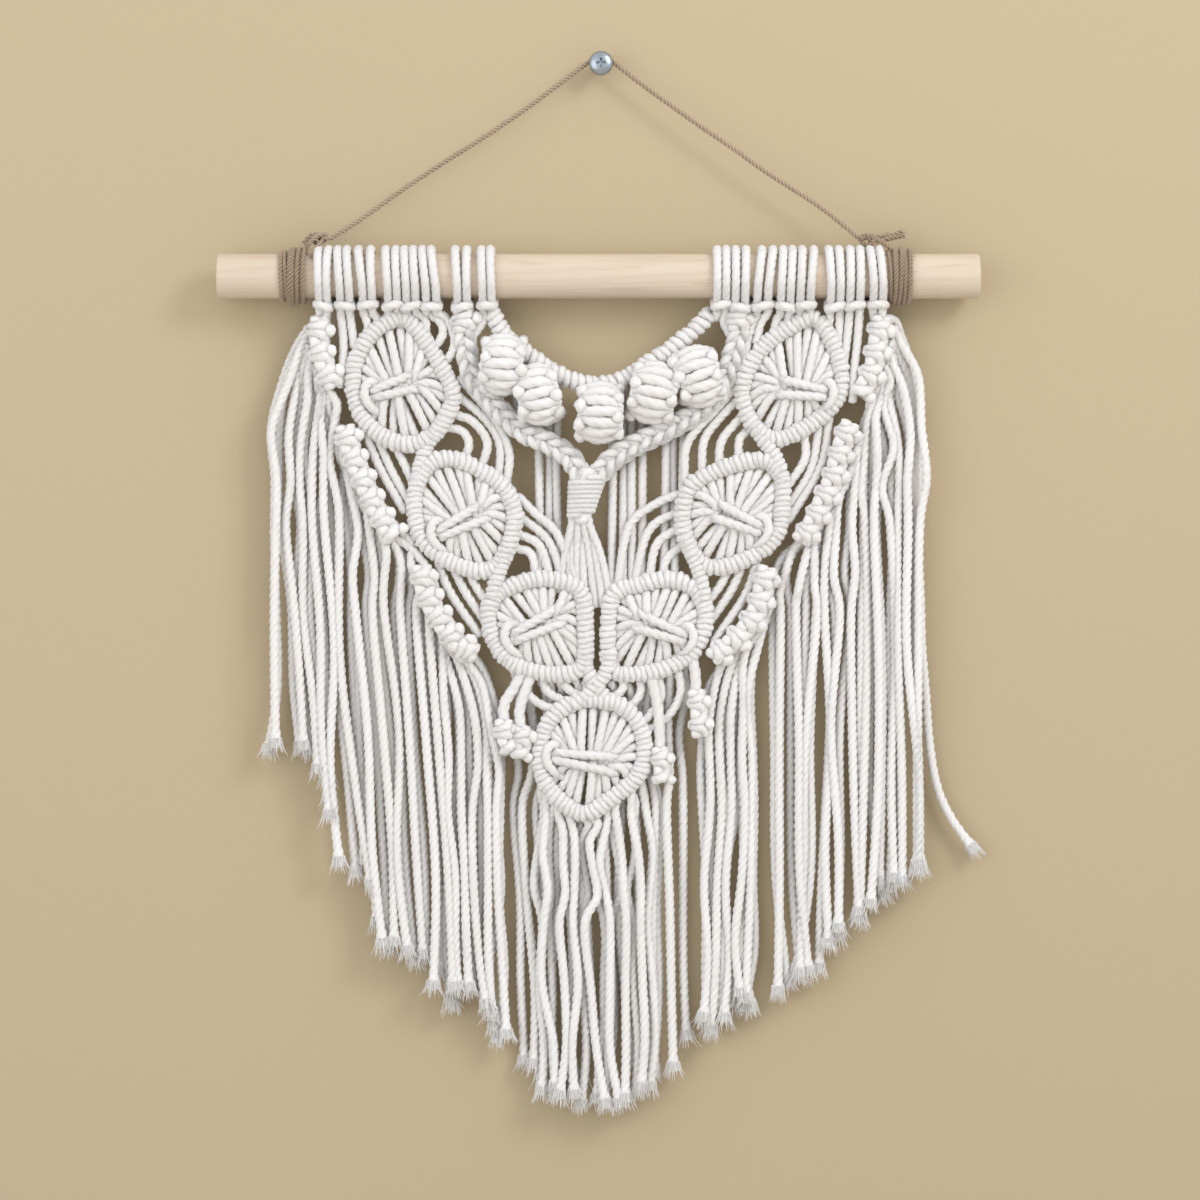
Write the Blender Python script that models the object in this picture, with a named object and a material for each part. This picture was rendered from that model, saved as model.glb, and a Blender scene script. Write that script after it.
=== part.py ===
"""Macrame wall hanging on a pine dowel, hung by a jute twine from a screw.

+X is right, +Z is up, and the front faces -Y. The origin is where the screw's
shank meets the wall, whose plane is y = 0. Every length below is in
millimetres; MM turns it into metres when a mesh is made.
"""

import math
from collections import namedtuple

import bmesh
import bpy
from mathutils import Matrix, Vector

MM = 0.001

# Driving dimensions
GAP = 0.3
CORD_D = 3.4
TWINE_D = 1.8
DOWEL_LENGTH = 304.8
DOWEL_D = 17.8
DOWEL_CENTRE = (-1.0, -13.0, -85.6)
SHANK_D = 4.8
HEAD_D = 9.6

# The knotted work hangs in three layers, each a (front, back) pair of depths.
FRONT_LAYER = (-17.8, -10.8)
MIDDLE_LAYER = (-10.5, -7.0)
BACK_LAYER = (-6.7, -3.2)
FRONT_Y = sum(FRONT_LAYER) / 2

RIM_D = 6.8
LEAF_SIDES = 20
HEADER_HEIGHT = 4.0
RUN_STEP = 7.0
TOOTH_SHARE = 0.82

Finish = namedtuple("Finish", "colour roughness metallic")
FINISHES = {
    "cotton": Finish((0.80, 0.77, 0.71), 0.95, 0.0),
    "jute": Finish((0.30, 0.22, 0.13), 0.95, 0.0),
    "pine": Finish((0.80, 0.66, 0.47), 0.60, 0.0),
    "zinc": Finish((0.70, 0.73, 0.78), 0.30, 1.0),
}

# The twine's route, knot to knot, over the shank.
TWINE_ROUTE = (
    (-108.2, -12.8, -70.4), (-101.0, -12.3, -66.0), (-93.0, -11.9, -60.5), (-79.0, -11.2, -50.5),
    (-62.5, -10.4, -39.5), (-46.0, -9.6, -29.0), (-30.0, -8.8, -18.0), (-17.5, -8.1, -8.6),
    (-9.5, -7.7, -2.6), (-4.6, -7.5, 1.1), (-2.1, -7.4, 3.0), (0.0, -7.4, 3.7),
    (2.1, -7.4, 3.0), (4.6, -7.5, 1.1), (9.5, -7.7, -2.8), (17.5, -8.1, -9.0),
    (35.5, -9.0, -22.0), (54.0, -9.9, -34.8), (66.0, -10.5, -43.5), (86.0, -11.5, -56.5),
    (97.0, -12.1, -65.0), (102.6, -12.6, -69.8),
)

Sleeve = namedtuple("Sleeve", "name x_from x_to thick finish")
SLEEVES = (
    Sleeve("twine_lashing_left", -127.6, -117.6, 1.6, "jute"),
    Sleeve("twine_lashing_right", 114.6, 125.2, 1.6, "jute"),
    Sleeve("loops_left_outer", -115.2, -61.8, 2.9, "cotton"),
    Sleeve("loops_left_inner", -61.0, -41.0, 2.9, "cotton"),
    Sleeve("loops_right_inner", 45.4, 87.0, 2.9, "cotton"),
    Sleeve("loops_right_outer", 90.0, 113.4, 2.9, "cotton"),
)

# Round pieces: centre and half sizes along x, y and z.
Ball = namedtuple("Ball", "name centre half finish")
BALLS = (
    Ball("twine_knot_left", (-113.2, -12.8, -71.0), (4.4, 2.3, 2.0), "jute"),
    Ball("top_knot_left", (-54.0, -14.3, -101.8), (5.4, 3.5, 4.0), "cotton"),
    Ball("top_knot_right", (55.0, -14.3, -101.8), (5.4, 3.5, 4.0), "cotton"),
    Ball("berry_1", (-39.0, -17.4, -122.2), (8.8, 6.6, 8.8), "cotton"),
    Ball("berry_2", (-25.0, -17.4, -135.2), (8.8, 6.6, 8.8), "cotton"),
    Ball("berry_3", (-0.5, -17.4, -141.0), (8.8, 6.6, 9.2), "cotton"),
    Ball("berry_4", (21.0, -17.4, -135.2), (8.8, 6.6, 8.8), "cotton"),
    Ball("berry_5", (37.5, -17.4, -126.2), (8.6, 6.6, 8.6), "cotton"),
)

# Round runs in the front layer: (x, z) points of the centreline, and a diameter at each end.
Run = namedtuple("Run", "name start_d end_d route")
RUNS = (
    Run("neck_band", 5.0, 5.0, (
        (-43.5, -101.2), (-38.5, -106.5), (-33.5, -111.0), (-26.5, -116.2), (-20.0, -120.8), (-12.5, -125.8),
        (-4.0, -128.4), (5.0, -127.4), (11.0, -125.4), (19.5, -120.2), (26.0, -116.0), (32.5, -111.0),
        (38.0, -106.5), (42.8, -101.4))),
    Run("braid_left", 5.8, 5.8, (
        (-55.4, -107.0), (-54.0, -113.5), (-52.0, -125.0), (-43.5, -136.6), (-32.0, -147.4), (-20.8, -152.4),
        (-11.5, -160.0))),
    Run("braid_right", 5.8, 5.8, (
        (57.5, -107.0), (53.6, -115.2), (49.4, -128.5), (40.2, -139.2), (25.6, -147.6), (13.6, -153.4),
        (2.0, -161.4))),
    Run("gathering_wrap", 7.0, 7.0, ((-5.0, -165.2), (-6.5, -172.0), (-8.2, -181.6))),
    Run("sinnet_left_1", 6.8, 6.8, ((-112.2, -103.6), (-112.4, -112.0), (-110.4, -120.4), (-106.8, -128.5))),
    Run("sinnet_left_2", 6.8, 6.8, (
        (-102.2, -147.0), (-99.6, -155.2), (-96.4, -163.6), (-92.4, -172.8), (-88.0, -181.6), (-82.8, -188.6))),
    Run("sinnet_left_3", 6.8, 6.8, (
        (-71.6, -203.0), (-70.0, -210.6), (-66.4, -219.2), (-61.6, -226.4), (-57.2, -232.4), (-51.2, -235.6))),
    Run("sinnet_right_1", 6.8, 6.8, ((112.2, -103.6), (110.8, -112.0), (108.8, -123.0), (104.4, -131.8))),
    Run("sinnet_right_2", 6.8, 6.8, (
        (99.4, -145.8), (95.8, -156.4), (92.6, -168.0), (88.0, -178.0), (83.6, -186.4), (80.6, -190.6))),
    Run("sinnet_right_3", 6.8, 6.8, (
        (66.6, -203.6), (64.8, -211.6), (62.0, -220.4), (57.2, -227.8), (51.6, -233.0), (45.6, -237.6))),
    Run("low_knot_left", 6.2, 6.2, ((-34.2, -249.8), (-39.2, -257.6), (-38.4, -268.0), (-33.2, -274.4))),
    Run("low_knot_right", 6.2, 6.2, ((38.4, -254.0), (39.6, -262.0), (39.2, -268.4))),
)

# The carrier cord's route round each leaf, as (x, z) points down the right side and up the left.
Leaf = namedtuple("Leaf", "name route")
LEAVES = (
    Leaf("leaf_left_1", (
        (-81.0, -102.4), (-74.5, -106.0), (-67.5, -116.0), (-61.0, -127.5), (-59.0, -134.5), (-62.5, -143.0),
        (-68.0, -150.0), (-76.5, -153.0), (-87.0, -150.0), (-95.5, -142.0), (-99.0, -130.5), (-98.0, -119.0),
        (-91.5, -108.4))),
    Leaf("leaf_left_2", (
        (-67.5, -160.0), (-58.5, -158.8), (-48.0, -163.5), (-39.0, -170.0), (-34.5, -180.0), (-36.0, -191.0),
        (-41.5, -201.5), (-50.0, -203.5), (-62.0, -199.0), (-71.5, -191.0), (-74.5, -180.0), (-73.5, -168.5))),
    Leaf("leaf_left_3", (
        (-36.5, -210.0), (-26.0, -206.8), (-14.5, -208.6), (-7.4, -214.0), (-5.6, -228.0), (-6.8, -241.0),
        (-14.0, -244.8), (-26.0, -244.0), (-36.0, -240.0), (-43.0, -231.0), (-45.0, -221.0), (-42.5, -213.5))),
    Leaf("leaf_right_1", (
        (84.0, -102.4), (91.0, -109.0), (95.5, -121.0), (95.5, -132.0), (89.0, -141.0), (79.5, -147.5),
        (70.0, -151.0), (62.5, -147.0), (57.6, -139.0), (56.6, -129.0), (61.0, -119.0), (70.0, -109.6))),
    Leaf("leaf_right_2", (
        (66.0, -159.5), (72.0, -166.0), (72.5, -177.0), (70.5, -188.0), (62.5, -196.5), (51.0, -201.5),
        (41.5, -201.5), (35.0, -193.5), (32.5, -182.0), (35.4, -170.4), (44.0, -164.5), (55.5, -160.5))),
    Leaf("leaf_right_3", (
        (5.0, -213.5), (16.0, -209.0), (27.0, -206.9), (37.0, -210.4), (41.5, -218.5), (41.0, -227.0),
        (36.0, -236.5), (26.0, -242.5), (14.0, -244.8), (4.8, -243.0), (3.2, -230.0))),
    Leaf("leaf_bottom", (
        (-3.0, -255.0), (7.0, -257.0), (14.5, -263.5), (17.5, -274.0), (15.0, -285.0), (5.5, -293.5),
        (-6.0, -300.5), (-15.0, -296.5), (-22.5, -287.5), (-24.5, -276.0), (-21.0, -264.0), (-11.5, -256.2))),
)

# A comb hangs from a header line. Its teeth swing out to the bow level and then fall to their own tips.
# header_dip lowers the header's middle.
Comb = namedtuple("Comb", "name layer header_from header_to header_dip bow_z bow_from bow_to tip_from tip_to tip_z")
COMBS = (
    Comb("web_top_left", MIDDLE_LAYER, (-113, -98.3), (-62, -98.3), 0, -103, -113, -62, -107, -60,
         (-122, -113, -108, -106, -106, -107, -112, -120)),
    Comb("web_top_right", MIDDLE_LAYER, (62, -98.3), (113, -98.3), 0, -103, 62, 113, 61, 107,
         (-120, -112, -107, -106, -106, -108, -113, -122)),
    Comb("curtain_left", BACK_LAYER, (-37, -110), (-19, -122), 0, -150, -34, -19.5, -33, -19.5,
         (-202, -204, -206)),
    Comb("curtain_right", BACK_LAYER, (4, -129), (37, -110), 0, -150, 5, 33, 5, 33,
         (-208, -207, -206, -205, -203)),
    Comb("yoke_fan", MIDDLE_LAYER, (-12, -178.0), (-4.5, -178.0), 0, -195, -12.5, -1, -13, 2,
         (-208, -210, -210, -209)),
    Comb("fringe_left_outer", BACK_LAYER, (-119, -108), (-107, -133), 0, -190, -131, -97.5, -130, -93.5,
         (-281, -279, -297, -319, -327, -333)),
    Comb("fringe_left_middle", MIDDLE_LAYER, (-104, -151), (-87, -190), 0, -240, -94, -67, -87, -61,
         (-341, -359, -357, -372, -381)),
    Comb("fringe_left_inner", BACK_LAYER, (-73, -206), (-53, -236), 0, -300, -62, -40, -60, -39.5,
         (-373, -382, -390, -398)),
    Comb("fringe_centre_back", BACK_LAYER, (-29, -248.5), (30, -248.5), 0, -300, -30.5, 32, -30.5, 33,
         (-405, -402, -408, -406, -405, -407, -402, -396)),
    Comb("fringe_centre_front", MIDDLE_LAYER, (-24, -292), (16, -291), 17, -345, -25, 18, -24, 19,
         (-419, -418, -418, -419.6, -413, -415)),
    Comb("fringe_right_inner", BACK_LAYER, (48, -238), (68, -206), 0, -300, 42, 64, 42, 61,
         (-392, -384, -381, -370)),
    Comb("fringe_right_middle", MIDDLE_LAYER, (80, -193), (102, -151), 0, -240, 69, 96, 70, 99,
         (-377, -368, -360, -366, -348)),
    Comb("fringe_right_outer", BACK_LAYER, (107, -136), (117, -112), 0, -190, 100, 121, 105, 127,
         (-344, -340, -336, -327)),
)

# A net joins two lines by bowed ribs, closed at both ends. sag_first and sag_last bow its outer ribs.
Net = namedtuple("Net", "name start_from start_to end_from end_to ribs sag_first sag_last")
NETS = (
    Net("web_left_inner_upper", (-61, -146), (-57, -128), (-57, -158.5), (-38, -167), 4, 1.5, 6),
    Net("web_left_inner_lower", (-36.5, -195), (-32.5, -176), (-31, -204), (-19.5, -205), 4, 0.5, 4),
    Net("web_left_outer_upper", (-92, -149), (-81, -153.5), (-82, -182), (-77, -169), 3, 0, 0),
    Net("web_left_outer_lower", (-65, -198.5), (-53, -203.5), (-53, -228), (-47, -214), 3, 0, 0),
    Net("web_right_inner_upper", (55, -129), (59, -147), (35, -165), (56, -158.5), 4, -5, -1),
    Net("web_right_inner_lower", (31.5, -174), (34, -195), (9, -209), (28, -204.5), 4, -5, -0.5),
    Net("web_right_outer_upper", (80, -150.5), (91, -145), (75.5, -166), (77.5, -181), 3, 0, 1.5),
    Net("web_right_outer_lower", (53, -203), (63, -198), (45.5, -215), (49.5, -230), 3, 0, 1),
)

LOOSE_STRAND_ROUTE = (
    (119.5, -5, -106), (123.5, -5, -117), (126.6, -5, -134), (127.8, -5, -160), (127.4, -5, -190),
    (128.4, -5, -212), (129.0, -5, -233), (130.6, -5, -253), (132.0, -5, -272), (135.0, -5, -289.5),
    (140.6, -5, -302.5), (150.4, -5, -316.2),
)


def clear_scene():
    for obj in list(bpy.data.objects):
        bpy.data.objects.remove(obj, do_unlink=True)


def paint(obj, finish_name):
    """Gives the object its own Principled material in the named finish."""
    finish = FINISHES[finish_name]
    material = bpy.data.materials.new(f"{obj.name}_{finish_name}")
    material.use_nodes = True
    shader = material.node_tree.nodes["Principled BSDF"]
    shader.inputs["Base Color"].default_value = (*finish.colour, 1.0)
    shader.inputs["Roughness"].default_value = finish.roughness
    shader.inputs["Metallic"].default_value = finish.metallic
    obj.data.materials.append(material)


def add_piece(name, data, finish_name):
    """Links a new object under the hanging's empty, with its material."""
    obj = bpy.data.objects.new(name, data)
    bpy.context.collection.objects.link(obj)
    obj.parent = bpy.data.objects["macrame_wall_hanging"]
    paint(obj, finish_name)
    return obj


def mesh_from(bm, name):
    bmesh.ops.recalc_face_normals(bm, faces=bm.faces)
    mesh = bpy.data.meshes.new(name)
    bm.to_mesh(mesh)
    bm.free()
    return mesh


def smooth_between(before, start, end, after, share):
    """A point that far from start to end on a Catmull-Rom curve."""
    return 0.5 * (
        2 * start
        + (end - before) * share
        + (2 * before - 5 * start + 4 * end - after) * share**2
        + (3 * start - before - 3 * end + after) * share**3
    )


def smooth_route(points, step, closed=False):
    """Evenly spaced points, about one step apart, on a smooth curve through the given ones."""
    points = [Vector(p) for p in points]
    count = len(points)
    fine = []
    for i in range(count if closed else count - 1):
        if closed:
            around = [points[(i + k) % count] for k in (-1, 0, 1, 2)]
        else:
            around = [points[min(max(i + k, 0), count - 1)] for k in (-1, 0, 1, 2)]
        fine += [smooth_between(*around, k / 16) for k in range(16)]
    fine.append(points[0] if closed else points[-1])
    along = [0.0]
    for a, b in zip(fine, fine[1:]):
        along.append(along[-1] + (b - a).length)
    steps = max(2, round(along[-1] / step))
    route, k = [], 0
    for i in range(steps if closed else steps + 1):
        want = along[-1] * i / steps
        while k < len(fine) - 2 and along[k + 1] < want:
            k += 1
        share = (want - along[k]) / max(along[k + 1] - along[k], 1e-9)
        route.append(fine[k].lerp(fine[k + 1], min(share, 1.0)))
    return route


def tube(name, points, start_d, end_d, step, finish_name, resolution=2):
    """A round bar along a smooth curve through (x, y, z) points, tapering from start_d to end_d."""
    route = smooth_route(points, step)
    curve = bpy.data.curves.new(name, "CURVE")
    curve.dimensions = "3D"
    curve.bevel_depth = start_d / 2 * MM
    curve.bevel_resolution = resolution
    curve.use_fill_caps = True
    spline = curve.splines.new("POLY")
    spline.points.add(len(route) - 1)
    for i, (point, place) in enumerate(zip(spline.points, route)):
        point.co = (*(place * MM), 1.0)
        point.radius = 1 + (end_d / start_d - 1) * i / (len(route) - 1)
    return add_piece(name, curve, finish_name)


def sleeve(row):
    """A turned ring round the dowel."""
    inner = (DOWEL_D / 2 + GAP) * MM
    outer = inner + row.thick * MM
    bm = bmesh.new()
    corners = [(row.x_from, inner), (row.x_to, inner), (row.x_to, outer), (row.x_from, outer)]
    verts = [bm.verts.new((x * MM, 0, radius)) for x, radius in corners]
    edges = [bm.edges.new((verts[i], verts[(i + 1) % 4])) for i in range(4)]
    bmesh.ops.spin(bm, geom=verts + edges, cent=(0, 0, 0), axis=(1, 0, 0), angle=math.tau, steps=20, use_merge=True)
    bmesh.ops.remove_doubles(bm, verts=bm.verts, dist=1e-6)
    obj = add_piece(row.name, mesh_from(bm, row.name), row.finish)
    obj.location = (0, DOWEL_CENTRE[1] * MM, DOWEL_CENTRE[2] * MM)
    return obj


def ball(row):
    bm = bmesh.new()
    bmesh.ops.create_uvsphere(bm, u_segments=10, v_segments=7, radius=MM, matrix=Matrix.Diagonal((*row.half, 1)))
    obj = add_piece(row.name, mesh_from(bm, row.name), row.finish)
    obj.location = Vector(row.centre) * MM
    return obj


def leaf(row):
    """A ridged rim round a thinner centre that domes forward where its strands are gathered."""
    route = smooth_route([(x, 0, z) for x, z in row.route], 1.0, closed=True)
    route = [route[len(route) * i // LEAF_SIDES] for i in range(LEAF_SIDES)]
    centre = sum(route, Vector()) / LEAF_SIDES
    half = RIM_D / 2
    front, back = FRONT_LAYER
    # Each loop is (distance outside the centreline, depth), from the back of the rim round to its inner foot.
    loops = ((-half / 2, back), (half / 2, back), (half, FRONT_Y), (half / 2, front), (-half / 2, front), (-half, FRONT_Y))
    bm = bmesh.new()
    rings = []
    for reach, depth in loops:
        ring = []
        for point in route:
            ray = point - centre
            place = centre + ray * (1 + reach / ray.length)
            ring.append(bm.verts.new(Vector((place.x, depth, place.z)) * MM))
        rings.append(ring)
    for inner, outer in zip(rings, rings[1:]):
        for i in range(LEAF_SIDES):
            j = (i + 1) % LEAF_SIDES
            bm.faces.new((inner[i], inner[j], outer[j], outer[i]))
    gather = bm.verts.new(Vector((centre.x, front + 1.2, centre.z)) * MM)
    for i in range(LEAF_SIDES):
        bm.faces.new((rings[-1][i], rings[-1][(i + 1) % LEAF_SIDES], gather))
    bm.faces.new(rings[0])
    return add_piece(row.name, mesh_from(bm, row.name), "cotton")


def joined_ribs(name, ribs, linked_rows, layer):
    """Flat ribs, each a list of (x, z, width) rows, joined to their neighbours at the linked rows, and given depth."""
    front, back = layer
    bm = bmesh.new()
    edges = []
    for rib in ribs:
        left, right = [], []
        for k, (x, z, width) in enumerate(rib):
            before, after = rib[max(k - 1, 0)], rib[min(k + 1, len(rib) - 1)]
            along = Vector((after[0] - before[0], after[1] - before[1])).normalized()
            across = Vector((-along.y, along.x)) * width / 2
            left.append(bm.verts.new(Vector((x - across.x, front, z - across.y)) * MM))
            right.append(bm.verts.new(Vector((x + across.x, front, z + across.y)) * MM))
        for k in range(len(rib) - 1):
            bm.faces.new((left[k], right[k], right[k + 1], left[k + 1]))
        edges.append((left, right))
    for (_, right), (left, _) in zip(edges, edges[1:]):
        for k in linked_rows:
            k = k % (len(left) - 1)
            bm.faces.new((right[k], left[k], left[k + 1], right[k + 1]))
    grown = bmesh.ops.extrude_face_region(bm, geom=bm.faces[:])
    moved = [item for item in grown["geom"] if isinstance(item, bmesh.types.BMVert)]
    bmesh.ops.translate(bm, verts=moved, vec=(0, (back - front) * MM, 0))
    return add_piece(name, mesh_from(bm, name), "cotton")


def lerp(a, b, share):
    return a + (b - a) * share


def comb(row):
    count = len(row.tip_z)
    pitch_top = abs(row.header_to[0] - row.header_from[0]) / (count - 1)
    pitch_bow = abs(row.bow_to - row.bow_from) / (count - 1)
    pitch_tip = abs(row.tip_to - row.tip_from) / (count - 1)
    ribs = []
    for i, tip_z in enumerate(row.tip_z):
        t = i / (count - 1)
        x_top = lerp(row.header_from[0], row.header_to[0], t)
        z_top = lerp(row.header_from[1], row.header_to[1], t) - row.header_dip * (1 - abs(2 * t - 1))
        x_bow = lerp(row.bow_from, row.bow_to, t)
        x_tip = lerp(row.tip_from, row.tip_to, t)
        z_bow = min(row.bow_z, z_top - 2 * HEADER_HEIGHT)
        z_bow = max(z_bow, lerp(z_top, tip_z, 0.8))
        z_link = max(z_top - HEADER_HEIGHT, lerp(z_top, z_bow, 0.6))
        rib = [(x_top, z_top, pitch_top), (lerp(x_top, x_bow, 0.1), z_link, pitch_top)]
        for share, swing in ((0.5, 0.7), (1.0, 1.0)):
            rib.append((lerp(x_top, x_bow, swing), lerp(z_link, z_bow, share), lerp(pitch_top, pitch_bow, swing)))
        rib.append((x_tip, tip_z, pitch_tip))
        ribs.append([(x, z, pitch * TOOTH_SHARE) for x, z, pitch in rib])
    joined_ribs(row.name, ribs, (0,), row.layer)


def net(row):
    rows = 5
    ribs = []
    for i in range(row.ribs):
        t = i / (row.ribs - 1)
        start = Vector(row.start_from).lerp(Vector(row.start_to), t)
        end = Vector(row.end_from).lerp(Vector(row.end_to), t)
        chord = (end - start).normalized()
        bow = Vector((-chord.y, chord.x)) * lerp(row.sag_first, row.sag_last, t)
        pitch_start = (Vector(row.start_to) - Vector(row.start_from)).length / (row.ribs - 1)
        pitch_end = (Vector(row.end_to) - Vector(row.end_from)).length / (row.ribs - 1)
        rib = []
        for k in range(rows):
            share = k / (rows - 1)
            place = start.lerp(end, share) + bow * math.sin(math.pi * share)
            rib.append((place.x, place.y, lerp(pitch_start, pitch_end, share) * 0.6))
        ribs.append(rib)
    joined_ribs(row.name, ribs, (0, -1), MIDDLE_LAYER)


def dowel():
    """A rod with its ends' edges eased."""
    bm = bmesh.new()
    turn = Matrix.Rotation(math.pi / 2, 4, "Y")
    bmesh.ops.create_cone(bm, cap_ends=True, segments=32, radius1=DOWEL_D / 2 * MM, radius2=DOWEL_D / 2 * MM,
                          depth=DOWEL_LENGTH * MM, matrix=turn)
    rims = [e for e in bm.edges if any(len(f.verts) > 4 for f in e.link_faces)]
    bmesh.ops.bevel(bm, geom=rims, offset=0.6 * MM, segments=1, affect="EDGES")
    obj = add_piece("dowel", mesh_from(bm, "dowel"), "pine")
    obj.location = Vector(DOWEL_CENTRE) * MM
    obj.data.shade_smooth()
    obj.data.set_sharp_from_angle(angle=math.radians(30))


def wall_screw():
    """A turned head and bare shank, with a cross recess cut in the head."""
    profile = (  # (radius, depth)
        (0, 0), (SHANK_D / 2, 0), (SHANK_D / 2, -8.9), (HEAD_D / 2, -9.3), (HEAD_D / 2, -10.3),
        (HEAD_D / 2 - 0.9, -11.6), (HEAD_D / 2 - 2.4, -12.5), (0, -12.9),
    )
    bm = bmesh.new()
    verts = [bm.verts.new((radius * MM, depth * MM, 0)) for radius, depth in profile]
    edges = [bm.edges.new(pair) for pair in zip(verts, verts[1:])]
    bmesh.ops.spin(bm, geom=verts + edges, cent=(0, 0, 0), axis=(0, 1, 0), angle=math.tau, steps=24, use_merge=True)
    bmesh.ops.remove_doubles(bm, verts=bm.verts, dist=1e-6)
    screw = add_piece("wall_screw", mesh_from(bm, "wall_screw"), "zinc")
    for turned in (0, 1):
        bm = bmesh.new()
        size = Matrix.Diagonal((4.6, 3.0, 1.1, 1) if turned else (1.1, 3.0, 4.6, 1))
        bmesh.ops.create_cube(bm, size=MM, matrix=size)
        cutter = add_piece(f"recess_cutter_{turned}", mesh_from(bm, f"recess_cutter_{turned}"), "zinc")
        cutter.location = (0, -12.9 * MM, 0)
        cutter.hide_render = True
        cutter.display_type = "WIRE"
        cut = screw.modifiers.new(f"recess_{turned}", "BOOLEAN")
        cut.operation = "DIFFERENCE"
        cut.object = cutter


def right_twine_knot():
    """The right knot: a lump that runs out into the twine's free tail."""
    tube("twine_knot_right", ((103.6, -12.8, -71.2), (105.6, -12.8, -71.2), (111.0, -12.8, -71.0), (121.6, -12.8, -69.4)),
         4.4, 2.0, 3.0, "jute")


def main():
    clear_scene()
    hanging = bpy.data.objects.new("macrame_wall_hanging", None)
    bpy.context.collection.objects.link(hanging)
    wall_screw()
    dowel()
    tube("hanging_twine", TWINE_ROUTE, TWINE_D, TWINE_D, 2.9 * TWINE_D, "jute")
    right_twine_knot()
    for row in SLEEVES:
        sleeve(row)
    for row in BALLS:
        ball(row)
    for row in RUNS:
        tube(row.name, [(x, FRONT_Y, z) for x, z in row.route], row.start_d, row.end_d, RUN_STEP, "cotton")
    for row in LEAVES:
        leaf(row)
    for row in COMBS:
        comb(row)
    for row in NETS:
        net(row)
    tube("loose_strand", LOOSE_STRAND_ROUTE, CORD_D, CORD_D, RUN_STEP, "cotton")


main()
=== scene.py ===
# %% [markdown]
# # A macrame wall hanging, cord by cord
# The hanging is one pine dowel, a jute twine to hang it by, and more than a hundred cotton cords that are
# only knotted, never sewn. This lesson builds every one of them as a twisted cord along a smooth route. The
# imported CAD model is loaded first, as a fixed frame: it says where each knot, leaf and fringe lies.

# %% Load the frame
import math
from collections import namedtuple

import bpy
import numpy as np
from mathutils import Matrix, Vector


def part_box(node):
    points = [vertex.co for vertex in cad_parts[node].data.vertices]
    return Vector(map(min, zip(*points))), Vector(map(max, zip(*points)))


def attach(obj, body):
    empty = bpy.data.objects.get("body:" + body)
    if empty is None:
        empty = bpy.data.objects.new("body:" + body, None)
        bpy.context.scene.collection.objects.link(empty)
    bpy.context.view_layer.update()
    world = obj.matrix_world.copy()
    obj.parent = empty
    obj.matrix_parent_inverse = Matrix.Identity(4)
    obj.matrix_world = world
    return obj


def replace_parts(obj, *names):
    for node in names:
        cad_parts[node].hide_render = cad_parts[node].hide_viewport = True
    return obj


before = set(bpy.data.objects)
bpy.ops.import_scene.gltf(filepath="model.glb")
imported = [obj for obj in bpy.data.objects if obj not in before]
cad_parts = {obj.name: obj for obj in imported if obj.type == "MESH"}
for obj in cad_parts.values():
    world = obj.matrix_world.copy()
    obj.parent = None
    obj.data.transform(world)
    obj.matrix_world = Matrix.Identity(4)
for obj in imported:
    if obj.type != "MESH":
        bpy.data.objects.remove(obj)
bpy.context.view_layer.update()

MM = 0.001
print("CAD nodes:", len(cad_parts))

# %% [markdown]
# ## Camera, wall and floor
# The hanging is seen straight from the front, from the middle of its height, by a long lens that keeps the
# fringe's cords parallel. A pale wall stands just behind it, as a real one does, and takes its soft shadow.
# Seen from behind, the wall lets the eye through, so the back of the knots can be looked at too.

# %% Camera
VIEW_WIDTH = 480.0
VIEW_DISTANCE = 1600.0
VIEW_CENTRE = (-0.4, -215.2)
HANGING_DEPTH = 14.0

camera_data = bpy.data.cameras.new("camera")
camera_data.sensor_width = 36.0
camera_data.lens = 36.0 * (VIEW_DISTANCE - HANGING_DEPTH) / VIEW_WIDTH
camera_data.clip_end = 20.0
camera = bpy.data.objects.new("camera", camera_data)
camera.location = (VIEW_CENTRE[0] * MM, -VIEW_DISTANCE * MM, VIEW_CENTRE[1] * MM)
camera.rotation_euler = (math.pi / 2, 0.0, 0.0)
bpy.context.scene.collection.objects.link(camera)
bpy.context.scene.camera = camera
print("lens", round(camera_data.lens, 1), "mm")

# %% [markdown]
# ## Light
# A soft lamp at the upper right gives the cords their round look and lets the shadows fall to the lower left.
# A weaker, larger one on the left and a pale surrounding keep the shadows open, as white cotton does.

# %% Lamps and surroundings
Lamp = namedtuple("Lamp", "name place aim size watts colour")
LAMPS = (
    Lamp("key_lamp", (950, -1050, 600), (0, 0, -190), 550, 9.0, (1.0, 0.99, 0.97)),
    Lamp("fill_lamp", (-1000, -1300, -100), (0, 0, -220), 1200, 5.6, (0.98, 0.99, 1.0)),
)
SURROUNDING_COLOUR = (0.97, 0.98, 1.0, 1.0)
SURROUNDING_STRENGTH = 0.96


def turned_to(place, aim):
    """The rotation that points a lamp from place to aim."""
    return (Vector(aim) - Vector(place)).to_track_quat("-Z", "Y").to_euler()


for row in LAMPS:
    lamp_data = bpy.data.lights.new(row.name, "AREA")
    lamp_data.energy = row.watts
    lamp_data.size = row.size * MM
    lamp_data.color = row.colour
    lamp = bpy.data.objects.new(row.name, lamp_data)
    lamp.location = [value * MM for value in row.place]
    lamp.rotation_euler = turned_to(row.place, row.aim)
    bpy.context.scene.collection.objects.link(lamp)

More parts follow.
